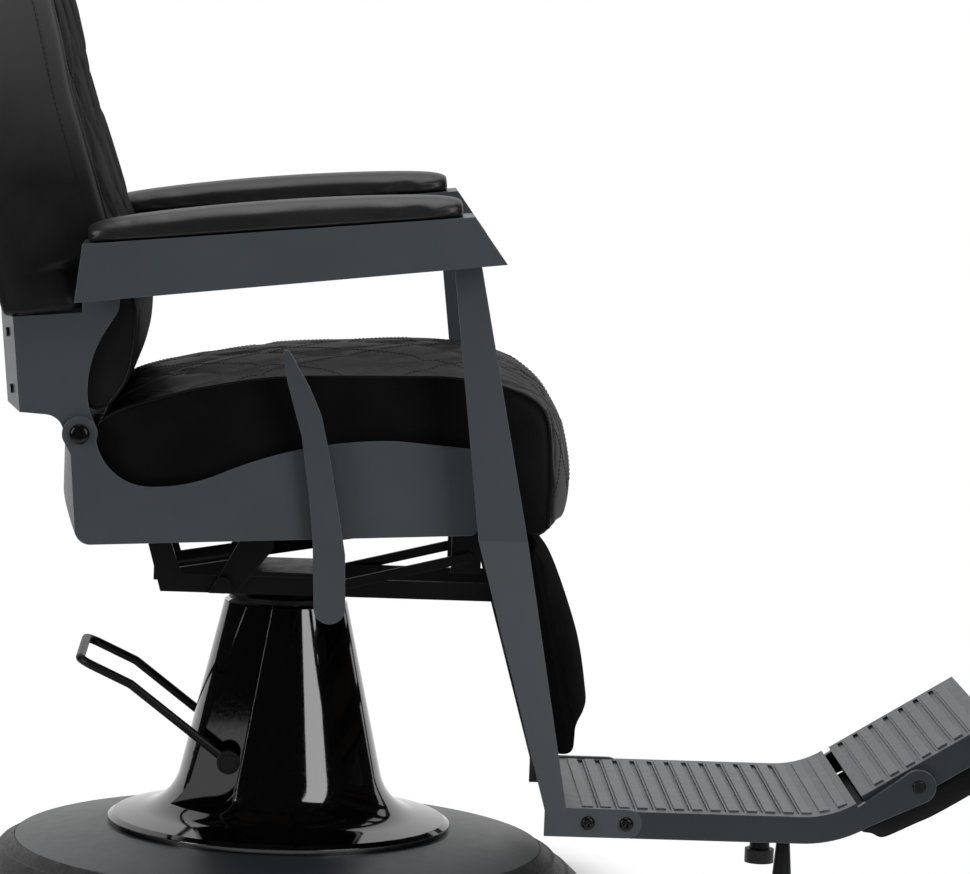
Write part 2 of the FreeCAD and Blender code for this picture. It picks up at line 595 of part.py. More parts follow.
def underframe_nodes():
    bore = "ram_radius + running_gap"
    mount = Piece("seat_mount")
    mount.revolve([(bore, "hub_foot"), ("flange_radius", "hub_foot"),
                   ("flange_radius", "hub_foot + flange_sheet"),
                   ("hub_radius", "hub_foot + flange_sheet"), ("hub_radius", "rail_top"),
                   (bore, "rail_top")])
    wide = "rail_half + rail_thickness"
    mount.prism("XZ", [("-mount_length/2", "rail_top"), ("mount_length/2", "rail_top"),
                       ("mount_length/2", "rail_top + mount_plate"),
                       ("-mount_length/2", "rail_top + mount_plate")],
                "-(%s)" % wide, wide)
    kick = "rail_rear - rail_kick"
    for side in ("right", "left"):
        span = between(side, "rail_half", wide)
        rail = Piece("rail_" + side)
        rail.prism("XZ", [("rail_rear", "rail_foot"), ("foot_pivot_x", "rail_foot"),
                          ("foot_pivot_x", "rail_top"),
                          ("rail_rear + 22", "rail_top"), (kick + " + 24", "pan_foot"), (kick, "pan_foot")],
                          *span)
        rail.round("XZ", "foot_pivot_x", "foot_pivot_z", "post_boss_radius", *span)
        rail.round("XZ", "foot_pivot_x", "foot_pivot_z", "foot_shaft_radius + running_gap", *span, cut=True)
        if side == "right":
            rail.round("XZ", "lever_x", "lever_z", "lever_shaft_radius + running_gap", *span, cut=True)
    end_x = "lock_x - lock_rear*cos(lock_tilt)"
    end_z = "lock_z - lock_rear*sin(lock_tilt)"
    cross = Piece("rear_cross")
    cross.prism("XZ", [(end_x + " + 12*sin(lock_tilt)", end_z + " - 12*cos(lock_tilt)"),
                       (end_x + " - 12*sin(lock_tilt)", end_z + " + 12*cos(lock_tilt)"),
                       ("rail_rear - 8", end_z + " + 12*cos(lock_tilt)"),
                       ("rail_rear - 8", end_z + " - 12*cos(lock_tilt)")],
                "-rail_half", "rail_half")
    brackets, nuts, stays, hangers = [], [], [], []
    for side in ("right", "left"):
        outer = between(side, wide, wide + " + bracket_plate")
        bracket = Piece("mid_bracket_" + side, alone=False)
        brackets.append(bracket.body)
        bracket.prism("XZ", [("-86", "rail_foot"), ("-57", "rail_foot"), ("-16", "rail_top + 31"),
                             ("-16", "pan_foot"),
                             ("-52", "pan_foot"), ("-52", "rail_top + 42")], *outer)
        sign = side_sign(side)
        low = "min(%s; %s)" % (sign + "*(%s + bracket_plate)" % wide,
                               sign + "*(%s + 3*bracket_plate)" % wide)
        nuts.append(cylinder("rail_thickness*1.5", "2*bracket_plate", "-71", low,
                             "(rail_foot + rail_top)/2", "y"))
        stay = Piece("front_stay_" + side, alone=False)
        stays.append(stay.body)
        rear_x, rear_z, front_x, front_z = "66", "rail_top - 5", "200", "rail_top + 29"
        half = "stay_height/2"
        stay.prism("XZ", [(rear_x, rear_z + " - " + half), (front_x, front_z + " - " + half, half),
                          (front_x + " + " + half, front_z, half), (front_x, front_z + " + " + half),
                          (rear_x, rear_z + " + " + half, half), (rear_x + " - " + half, rear_z, half)],
                   *between(side, wide, wide + " + 1.5*bracket_plate"))
        hanger = Piece("stay_bracket_" + side, alone=False)
        hangers.append(hanger.body)
        hanger.prism("XZ", [("182", "rail_top + 11"), ("215", "rail_top + 11"), ("215", "pan_foot"),
                            ("182", "pan_foot")],
                     *between(side, "rail_half", wide))
    joined("group", nuts, "bracket_nuts")
    joined("group", brackets, "mid_brackets")
    joined("group", stays, "front_stays")
    joined("group", hangers, "stay_brackets")
    node_lock()


def node_lock():
    reach = "(foot_pivot_x - lock_x)/cos(lock_tilt)"
    tube = Piece("lock_cylinder")
    tube.round("YZ", "0", "0", "lock_radius", "-lock_rear", "lock_length")
    tube.round("YZ", "0", "0", "lock_rod_radius + running_gap", "10", "lock_length", cut=True)
    place(tube.body, "lock_x", "lock_y", "lock_z", "lock_tilt")
    rod = Piece("lock_rod")
    rod.round("YZ", "0", "0", "lock_rod_radius", "50", reach + " - lock_eye_radius + 2")
    rod.round("XZ", reach, "0", "lock_eye_radius", "-(lock_rod_radius + 1)", "lock_rod_radius + 1")
    rod.round("XZ", reach, "0", "lock_pin_radius + lock_pin_play", "-(lock_rod_radius + 1)",
              "lock_rod_radius + 1", cut=True)
    place(rod.body, "lock_x", "lock_y", "lock_z", "lock_tilt")
    pin_z = "lock_z + (foot_pivot_x - lock_x)*tan(lock_tilt)"
    inner = "lock_y + lock_rod_radius + 1.5"
    crank = Piece("lock_crank")
    crank.prism("XZ", [("foot_pivot_x - crank_end_radius", "foot_pivot_z"),
                       ("foot_pivot_x + crank_end_radius", "foot_pivot_z"),
                       ("foot_pivot_x + crank_end_radius", pin_z),
                       ("foot_pivot_x - crank_end_radius", pin_z)],
                inner, inner + " + crank_plate")
    crank.round("XZ", "foot_pivot_x", pin_z, "crank_end_radius", inner, inner + " + crank_plate")
    crank.round("XZ", "foot_pivot_x", "foot_pivot_z", "crank_hub_radius", inner, inner + " + 2*crank_plate")
    crank.round("XZ", "foot_pivot_x", pin_z, "lock_pin_radius", "lock_y - lock_rod_radius - 3", inner)
    crank.round("XZ", "foot_pivot_x", "foot_pivot_z", "foot_shaft_radius + running_gap", inner,
                inner + " + 2*crank_plate",
                cut=True)


def seat_nodes():
    pan = Piece("seat_pan")
    pan.prism("XZ", [("pan_rear", "pan_foot"), ("pan_front", "pan_foot"),
                     ("pan_front", "pan_foot + pan_thickness"),
                     ("pan_rear", "pan_foot + pan_thickness")], "-skirt_inner", "skirt_inner")
    ax, az, ear = "back_pivot_x", "back_pivot_z", "ear_radius"
    bolts, washers = [], []
    for side in ("right", "left"):
        span = between(side, "skirt_inner", "skirt_inner + skirt_sheet")
        skirt = Piece("seat_side_" + side)
        low, up = "tub_wave_low", "tub_wave_rise"
        run = "tub_wave_run"
        bend = "(%s*%s + %s*%s)/(2*%s)" % (run, run, up, up, up)
        dip_x = "(tub_rear + tub_wave_rear - %s - %s*cos(20))" % (ax, ear)
        dip_z = "(%s - %s*sin(20) - %s)" % (az, ear, low)
        dip = "(%s*%s + %s*%s)/(2*%s)" % (dip_x, dip_x, dip_z, dip_z, dip_z)
        skirt.prism("XZ", [
            ("tub_rear + 18", "tub_foot_rear"), ("tub_front - 8", "tub_foot_front", "8"),
            ("tub_front", "tub_foot_front + 8"), ("tub_front - 8", low + " + %s*0.9" % up),
            ("tub_rear + tub_wave_rear + " + run, low + " + " + up, "0.72*" + bend),
            ("tub_rear + tub_wave_rear + 0.28*" + run, low + " + 0.28*" + up, "-0.28*" + bend),
            ("tub_rear + tub_wave_rear", low, "-" + dip),
            ("%s + %s*cos(20)" % (ax, ear), "%s - %s*sin(20)" % (az, ear), ear),
            (ax, "%s + %s" % (az, ear), ear), ("%s - %s*cos(20)" % (ax, ear),
                                               "%s - %s*sin(20)" % (az, ear)),
            ("tub_rear - 7", "tub_panel_top"), ("tub_rear", "tub_foot_rear + 12", "17")], *span)
        skirt.round("XZ", ax, az, "pivot_radius + running_gap", *span, cut=True)
        sign = side_sign(side)
        low_end = "min(%s*bracket_inner - %s*2; %s*(skirt_inner + skirt_sheet))" % (sign, sign, sign)
        shank = cylinder("pivot_radius", "skirt_inner + skirt_sheet - bracket_inner + 2", ax, low_end, az,
                         "y")
        face = "(skirt_inner + skirt_sheet)"
        head_end = "min(%s*%s; %s*(%s + pivot_head))" % (sign, face, sign, face)
        head = cylinder("pivot_head_radius", "pivot_head", ax, head_end, az, "y")
        bolt = doc.addObject("Part::Fuse", "bolt")
        bolt.Base, bolt.Tool = shank, head
        bolts.append(bolt)
        plate_face = "bracket_inner + bracket_sheet"
        washer = doc.addObject("Part::Cut", "washer")
        washer_end = "min(%s*(%s); %s*skirt_inner)" % (sign, plate_face, sign)
        washer.Base = cylinder("pivot_head_radius", "skirt_inner - (%s)" % plate_face, ax, washer_end, az,
                               "y")
        washer.Tool = cylinder("pivot_radius + running_gap", "skirt_inner", ax,
                               sign + "*skirt_inner - skirt_inner/2", az, "y")
        washers.append(washer)
    joined("group", bolts, "pivot_bolts")
    joined("group", washers, "pivot_washers")
    back, wide = "tub_rear", "skirt_inner"
    bend = "(%s*%s + tub_bow*tub_bow)/(2*tub_bow)" % (wide, wide)
    panel = Piece("seat_rear_panel")
    panel.prism("XY", [(back, wide, bend), (back, "-" + wide),
                       (back + " + skirt_sheet", "-" + wide, "-" + bend),
                       (back + " + skirt_sheet", wide)], "tub_foot_rear + 9", "tub_panel_top")
    reach = "(%s + 1)" % wide
    arch = "(%s*%s + tub_arch*tub_arch)/(2*tub_arch)" % (reach, reach)
    panel.prism("YZ", [("-" + reach, "tub_foot_rear"), (reach, "tub_foot_rear"),
                       (reach, "tub_foot_rear + 10", arch),
                       ("-" + reach, "tub_foot_rear + 10")], back + " - tub_bow - 5", back + " + 10",
                       cut=True)
    seat_cushion()


def seat_cushion():
    pan_top = "pan_foot + pan_thickness"
    lip = "pan_foot - 6"
    crown, nose = "seat_crown", "seat_nose"
    edge_top = [("seat_rear + 27", "seat_low_rear + 21"), ("seat_rear + 154", "seat_high - 9"),
                ("seat_rear + 228", "seat_high - 1"),
                ("seat_front - 167", "seat_high - 0.5")]
    edge_front = [edge_top[-1], ("seat_front - 100", "seat_high"), ("seat_front - 56", "seat_high - 11"),
                  ("seat_front - 18", "seat_high - 28"), ("seat_front - 3", "seat_high - 54"),
                  ("seat_front", "seat_high - 110"),
                  ("seat_front", lip + " + 10")]
    centre_top = [("seat_rear + 29", "seat_low_rear + 34"), ("seat_rear + 85", "seat_high - 6"),
                  ("seat_rear + 229", "seat_high + %s*0.7" % crown),
                  ("seat_front - 167", "seat_high + " + crown)]
    centre_front = [centre_top[-1], ("seat_front - 97", "seat_high + %s*0.9" % crown),
                    ("seat_front - 52", "seat_high + %s*0.45" % crown),
                    ("seat_front - 17", "seat_high - 13"), ("seat_front + %s*0.48" % nose,
                                                            "seat_high - 57"),
                    ("seat_front + %s*0.96" % nose, "seat_high - 102"),
                    ("seat_front + " + nose, "seat_high - 136"),
                    ("seat_front + %s*0.85" % nose, lip + " + 10")]
    below = numbers([("seat_front - 6", lip), ("pan_front + 4", lip),
                     ("pan_front + 4", pan_top + " + soft_gap"),
                     ("pan_rear + 2", pan_top + " + soft_gap")])
    rear = numbers([("pan_rear - 3", "seat_low_rear - 46"), ("seat_rear", "seat_low_rear - 3")])

    def section(top, front):
        top, front = numbers(top), numbers(front)
        return [(top, 11), (front, 11), ([front[-1]] + below[:2], 2), (below[1:3], 1), (below[2:4], 2),
                ([below[3]] + rear + [top[0]], 3)]

    cushion("seat_cushion", value("seat_half - 6"), section(centre_top, centre_front),
            section(edge_top, edge_front), 22, 16, 5, (0, 22, 11))


def lever_nodes():
    x, z, foot = "lever_x", "lever_z", "lever_foot_radius"
    span = ("-lever_inner", "-(lever_inner + lever_sheet)")
    lever = Piece("recline_lever")
    lever.prism("XZ", [
        (x + " - " + foot, z, foot), (x, z + " - " + foot, foot), (x + " + " + foot, z),
        (x + " + 15", z + " + 58"), (x + " + 7", z + " + 102"),
        (x + " - 5", z + " + 164"), (x + " - 15", z + " + 207"), (x + " - 29", z + " + 238"),
        (x + " - 52", z + " + 276"),
        (x + " - 57", z + " + 277"), (x + " - 59", z + " + 272"), (x + " - 53", z + " + 243"),
        (x + " - 36", z + " + 185"),
        (x + " - 26", z + " + 121"), (x + " - 20.5", z + " + 73")], *span)
    blind = "lever_inner + lever_sheet - lever_cover"
    lever.round("XZ", x, z, "lever_shaft_radius + running_gap", "-lever_inner", "-(%s)" % blind, cut=True)
    node(cylinder("lever_shaft_radius", blind + " - 0.3 - rail_half + 10", x, "-(%s - 0.3)" % blind, z,
                  "y"), "lever_shaft")


def back_nodes():
    ax, az, bx, bz, ear = "back_pivot_x", "back_pivot_z", "arm_pivot_x", "arm_pivot_z", "ear_radius"
    inner, outer = "bracket_inner", "bracket_inner + bracket_sheet"
    foot, top = "bracket_rear_foot", "bracket_rear_top"
    bracket = Piece("back_bracket")

    def plan(rear):
        bow, half = rear + " - bracket_bow", "bracket_bow_half"
        sheet_in = " + bracket_sheet"
        return [(rear, "-(%s)" % outer), (rear + sheet_in, "-(%s)" % outer), (bow + sheet_in, "-" + half),
                (bow + sheet_in, half), (rear + sheet_in, outer), (rear, outer), (bow, half),
                (bow, "-" + half)]

    bracket.loft("XY", [("bracket_foot", plan(foot)), ("bracket_top", plan(top))])
    outline = [
        (foot, "bracket_foot"), (foot + " + 28", "bracket_foot - 1.6", "-20.6"),
        ("%s - %s*cos(15)" % (ax, ear), "%s + %s*sin(15)" % (az, ear), ear),
        (ax, "%s - %s" % (az, ear), ear),
        ("%s + %s*cos(30)" % (ax, ear), "%s + %s*sin(30)" % (az, ear), "-73"),
        (ax + " + 7", az + " + 41", "-118"),
        (ax + " + 25.5", az + " + 113"), (bx + " + 20", bz + " - 36", "45"),
        ("%s + %s*cos(20)" % (bx, ear), "%s - %s*sin(20)" % (bz, ear), ear),
        (bx, "%s + %s" % (bz, ear), ear), ("%s - %s" % (bx, ear), bz), (bx + " - 18", bz + " - 38"),
        (top, "bracket_top")]
    for side in ("right", "left"):
        span = between(side, inner, outer)
        bracket.prism("XZ", outline, *span)
        bracket.round("XZ", ax, az, "pivot_radius + running_gap", *span, cut=True)
        bracket.round("XZ", bx, bz, "arm_pin_radius + running_gap", *span, cut=True)
    lumbar = Piece("lumbar_board")
    lumbar.prism("XZ", [("lumbar_x - lumbar_thickness", "bracket_foot + 16"),
                        ("lumbar_x", "bracket_foot + 16"),
                        ("lumbar_x", "bracket_top - 8"), ("lumbar_x - lumbar_thickness",
                                                          "bracket_top - 8")],
                 "-bracket_inner", "bracket_inner")
    shell = Piece("back_body")
    shell.prism("XZ", [("-back_depth", "back_foot_rear"), ("-notch_depth", "back_foot_front"),
                       ("-back_lip", "back_foot_front"),
                       ("-back_lip", "back_top"), ("-back_depth", "back_top")], "-back_half", "back_half")
    well = "back_half - back_wall"
    shell.prism("XZ", [("-back_core", "2*back_foot_front"), ("1", "2*back_foot_front"),
                       ("1", "back_top - back_wall"),
                       ("-back_core", "back_top - back_wall")], "-(%s)" % well, well, cut=True)
    for sign in ("-1", "1"):
        shell.prism("XZ", [("-notch_depth", "2*back_foot_front"), ("1", "2*back_foot_front"),
                           ("1", "notch_top"),
                           ("-notch_depth", "notch_top")], "%s*(%s)" % (sign, well),
                           sign + "*(back_half + 1)", cut=True)
    bar_rear = "head_depth - head_bar/2"
    gap = "soft_gap"
    shell.prism("XZ", [("%s - %s" % (bar_rear, gap), "back_top - head_bar_drop - 10"),
                       ("%s + head_bar + %s" % (bar_rear, gap), "back_top - head_bar_drop - 10"),
                       ("%s + head_bar + %s" % (bar_rear, gap), "back_top + 1"),
                       ("%s - %s" % (bar_rear, gap), "back_top + 1")],
                "-(head_bar_width/2 + %s)" % gap, "head_bar_width/2 + " + gap, cut=True)
    limit = value("back_top")
    wide = value("back_half")
    shell.fillet("back_corner", lambda p, d,
                 e: abs(p.z - limit) < 0.01 and abs(abs(p.y) - wide) < 0.01 and abs(d.x) > 20)
    place(shell.body, "back_x", "0", "back_z", "back_lean")
    board = Piece("back_board")
    board.prism("XZ", [("-back_core", "back_foot_front + 2"),
                       ("board_thickness - back_core", "back_foot_front + 2"),
                       ("board_thickness - back_core", "back_top - back_wall"),
                       ("-back_core", "back_top - back_wall")],
                "-(%s - 2)" % well, well + " - 2")
    place(board.body, "back_x", "0", "back_z", "back_lean")
    back_cushion()
    screws()
    arm_pins()
    headrest_nodes(bar_rear)


def back_cushion():
    pad_rear = "board_thickness - back_core + soft_gap"
    top_v = "back_top - back_wall - 3"
    crown = "back_crown"
    upper = [lean("-14", top_v), lean("-3", top_v + " - 12"), lean("0", "145")]
    middle = [upper[-1], lean("0", "-23")]
    lower = [middle[-1], lean("0", "-80"), ("lumbar_x + 38", "bracket_top - 10"),
             ("lumbar_x + 36", "bracket_top - 40"),
             ("lumbar_x + 26", "bracket_foot + 42"), ("lumbar_x + 10", "bracket_foot + 26")]
    full_upper = [lean("-12", top_v), lean(crown + "*0.4", top_v + " - 12"), lean(crown + "*0.6", "145")]
    full_middle = [full_upper[-1], lean(crown, "-23")]
    full_lower = [full_middle[-1], lean(crown + " + 2", "-80"), ("lumbar_x + 66", "bracket_top + 6"),
                  ("lumbar_x + 63", "bracket_top - 12"),
                  ("lumbar_x + 57", "bracket_top - 34"), ("lumbar_x + 42", "bracket_foot + 46"),
                  ("lumbar_x + 14", "bracket_foot + 28")]
    rear = numbers([("lumbar_x + soft_gap", "bracket_foot + 30"),
                    ("lumbar_x + soft_gap", "bracket_top - 12"),
                    lean(pad_rear, "back_foot_front - 1"), lean(pad_rear, top_v)])

    def section(high, mid, low):
        high, mid, low = numbers(high), numbers(mid), numbers(low)
        return [(high, 6), (mid, 6), (low, 8), ([low[-1], rear[0]], 1), (rear[0:2], 1), (rear[1:3], 1),
                (rear[2:4], 6), ([rear[3], high[0]], 1)]

    cushion("back_cushion", value("back_half - back_wall - 5"),
            section(full_upper, full_middle, full_lower),
            section(upper, middle, lower), 20, 16, 3, (1, 16, 12))


def screws():
    foot = FreeCAD.Vector(value("bracket_rear_foot"), value("bracket_inner + bracket_sheet"),
                          value("bracket_foot"))
    top = FreeCAD.Vector(value("bracket_rear_top"), foot.y, value("bracket_top"))
    bend = FreeCAD.Vector(foot.x - value("bracket_bow"), value("bracket_bow_half"), foot.z)
    heads = []
    for sign in (-1, 1):
        for high in (0.2, 0.8):
            spot = foot + (bend - foot) * 0.45 + (top - foot) * high
            out = (bend - foot).cross(top - foot).normalize()
            head = doc.addObject("Part::Cylinder", "screw")
            head.setExpression("Radius", bound("back_screw_radius"))
            head.Height = 3
            spot.y, out.y = sign * spot.y, sign * out.y
            if out.x > 0:
                out = out * -1
            head.Placement = FreeCAD.Placement(spot, FreeCAD.Rotation(FreeCAD.Vector(0, 0, 1), out))
            heads.append(head)
    joined("group", heads, "back_screws")


def arm_pins():
    pins = []
    for side in ("right", "left"):
        sign = side_sign(side)
        inner_face = "arm_inner + arm_sheet + 1"
        start, finish = "(bracket_inner - 3)", "(%s + 6)" % inner_face
        shank = cylinder("arm_pin_radius", "%s - %s" % (finish, start), "arm_pivot_x",
                         "min(%s*%s; %s*%s)" % (sign, start, sign, finish), "arm_pivot_z", "y")
        head = cylinder("arm_pin_radius + 4", "6", "arm_pivot_x",
                        "min(%s*(%s); %s*%s)" % (sign, inner_face, sign, finish), "arm_pivot_z", "y")
        pin = doc.addObject("Part::Fuse", "pin")
        pin.Base, pin.Tool = shank, head
        pins.append(pin)
    joined("group", pins, "arm_pins")


def headrest_nodes(bar_rear):
    gap = "soft_gap"
    collar = Piece("headrest_collar")
    collar.prism("XZ", [("head_depth - collar_depth/2", "back_top"),
                        ("head_depth + collar_depth/2", "back_top"),
                        ("head_depth + collar_depth/2", "back_top + collar_height"),
                        ("head_depth - collar_depth/2", "back_top + collar_height")], "-collar_width/2",
                        "collar_width/2")
    collar.prism("XZ", [("%s - %s" % (bar_rear, gap), "back_top"),
                        ("%s + head_bar + %s" % (bar_rear, gap), "back_top"),
                        ("%s + head_bar + %s" % (bar_rear, gap), "back_top + collar_height"),
                        ("%s - %s" % (bar_rear, gap), "back_top + collar_height")],
                 "-(head_bar_width/2 + %s)" % gap, "head_bar_width/2 + " + gap, cut=True)
    place(collar.body, "back_x", "0", "back_z", "back_lean")
    knob = Piece("headrest_knob")
    knob.round("YZ", "0", "back_top + collar_height/2 + knob_radius - collar_height/2", "knob_radius",
               "head_depth - collar_depth/2 - knob_length", "head_depth - collar_depth/2")
    place(knob.body, "back_x", "0", "back_z", "back_lean")
    bar = Piece("headrest_post")
    bar.prism("XZ", [(bar_rear, "back_top - head_bar_drop"),
                     (bar_rear + " + head_bar", "back_top - head_bar_drop"),
                     (bar_rear + " + head_bar", "back_top - head_bar_drop + head_bar_length"),
                     (bar_rear, "back_top - head_bar_drop + head_bar_length")], "-head_bar_width/2",
                     "head_bar_width/2")
    place(bar.body, "back_x", "0", "back_z", "back_lean")
    rear, front = value(bar_rear + " + head_bar"), value(bar_rear + " + head_bar + head_pad_depth")
    low = value("back_top + head_gap")
    high = low + value("head_pad_height")
    swell = value("head_pad_crown")

    def section(bulge):
        run = [(rear, high - 12), (rear + 20, high), (front - 20, high - 4), (front, high - 30),
               (front + bulge, (low + high) / 2),
               (front, low + 30), (front - 20, low + 4), (rear + 20, low), (rear, low + 12)]
        return [(run, 14), ([run[-1], run[0]], 1)]

    pad = cushion("headrest_pad", value("head_pad_half - 6"), section(swell), section(0), 14, 8, 6)
    place(pad, "back_x", "0", "back_z", "back_lean")


def arm_nodes():
    slope = "atan((arm_front_top_z - arm_rear_top_z)/(arm_front_top_x - arm_rear_top_x))"
    for side in ("right", "left"):
        arm = Piece("arm_" + side)
        arm.prism("XZ", [("arm_rear_foot_x", "arm_rear_foot_z"), ("arm_tip_x", "arm_tip_z"),
                         ("arm_front_top_x", "arm_front_top_z"),
                         ("arm_rear_top_x", "arm_rear_top_z")], *between(side, "arm_inner", "arm_outer"))
        doc.recompute()
        solid = arm.body.Tip
        normals = [face.normalAt(0, 0) for face in solid.Shape.Faces]
        lowest = min(range(len(normals)), key=lambda n: normals[n].z)
        hollow = arm.body.newObject("PartDesign::Thickness", "arm_hollow")
        hollow.Base = (solid, ["Face%d" % (lowest + 1)])
        hollow.setExpression("Value", bound("arm_sheet"))
        hollow.Reversed = True
        hollow.Join = "Intersection"
        doc.recompute()
        cx, cz, half = "post_pin_x", "post_pin_z", "arm_lug_half + 2"
        roof = "arm_front_top_z - 1.5 - (arm_front_top_x - (%s))*tan(" + slope + ")"
        lug = between(side, "arm_lug_inner", "arm_lug_inner + arm_lug_sheet")
        rear, front = "%s - (%s)" % (cx, half), "arm_front_top_x - 2"
        arm.prism("XZ", [(rear, cz + " - (%s)" % half), ("%s + %s" % (cx, half), cz + " - (%s)" % half),
                         ("%s + %s" % (cx, half), cz + " + " + half), (front, roof % front),
                         (rear, roof % rear)], *lug)
        arm.round("XZ", cx, cz, "post_pin_radius + post_pin_play", *lug, cut=True)
        arm.round("XZ", "arm_pivot_x", "arm_pivot_z", "arm_pin_radius + running_gap",
                  *between(side, "arm_inner", "arm_inner + arm_sheet"), cut=True)
    rear, length, height, crown = (value("arm_pad_start"), value("arm_pad_length"), value("arm_pad_height"),
                                   value("arm_pad_crown"))

    def section(extra):
        tall = height - crown + extra
        run = [(rear + 1, 8), (rear + 8, tall - 4), (rear + 40, tall), (rear + length - 50, tall),
               (rear + length - 12, tall - 4),
               (rear + length - 1, tall * 0.5), (rear + length - 4, 4)]
        return [(run, 14), ([run[-1], (rear + length - 10, 0), (rear + 8, 0), run[0]], 4)]

    middle = "(arm_inner + arm_outer)/2"
    half = value("(arm_outer - arm_inner)/2 + arm_pad_overhang")
    for side in ("right", "left"):
        pad = cushion("arm_pad_" + side, half - 5, section(crown), section(0), 14, 6, 5,
                      inset="small_inset")
        place(pad, "arm_rear_top_x", "%s*%s" % (side_sign(side), middle), "arm_rear_top_z", slope)


def post_nodes():
    for side in ("right", "left"):
        sign = side_sign(side)

        def level(rear, front, inner):
            near, far = "%s*(%s)" % (sign, inner), "%s*(%s + post_sheet)" % (sign, inner)
            return [(rear, near), (front, near), (front, far), (rear, far)]

        post = Piece("post_" + side)
        post.loft("XY", [("post_foot", level("post_foot_rear", "post_foot_front",
                                             "deck_half - post_sheet")),
                         ("post_bend", level("post_bend_rear", "post_bend_front", "post_inner")),
                         ("post_top", level("post_top_rear", "post_top_front", "post_inner"))])
        span = between(side, "deck_half - post_sheet", "deck_half")
        nose = "(tab_top - tab_foot)/2"
        post.prism("XZ", [("post_foot_rear", "tab_foot"), ("tab_front - " + nose, "tab_foot", nose),
                          ("tab_front", "(tab_foot + tab_top)/2", nose), ("tab_front - " + nose, "tab_top"),
                          ("post_foot_rear", "tab_top")], *span)
        post.round("XZ", "post_pin_x", "post_pin_z", "post_pin_radius",
                   *between(side, "post_inner + post_sheet/2", "arm_lug_inner + arm_lug_sheet + 2"))
        shaft_end = "(%s) - 9" % post_inner_at("foot_pivot_z")
        post.round("XZ", "foot_pivot_x", "foot_pivot_z", "post_boss_radius",
                   *between(side, "post_boss_inner", post_inner_at("foot_pivot_z")))
        post.round("XZ", "foot_pivot_x", "foot_pivot_z", "foot_shaft_radius + running_gap",
                   *between(side, "post_boss_inner", shaft_end), cut=True)
        for bolt_x in ("foot_bolt_rear", "foot_bolt_front"):
            post.round("XZ", bolt_x, "(tab_foot + tab_top)/2", "foot_bolt_radius/2 + soft_gap", *span,
                       cut=True)
    node(cylinder("foot_shaft_radius", "2*(%s)" % shaft_end, "foot_pivot_x", "-(%s)" % shaft_end,
                  "foot_pivot_z", "y"),
         "footrest_shaft")


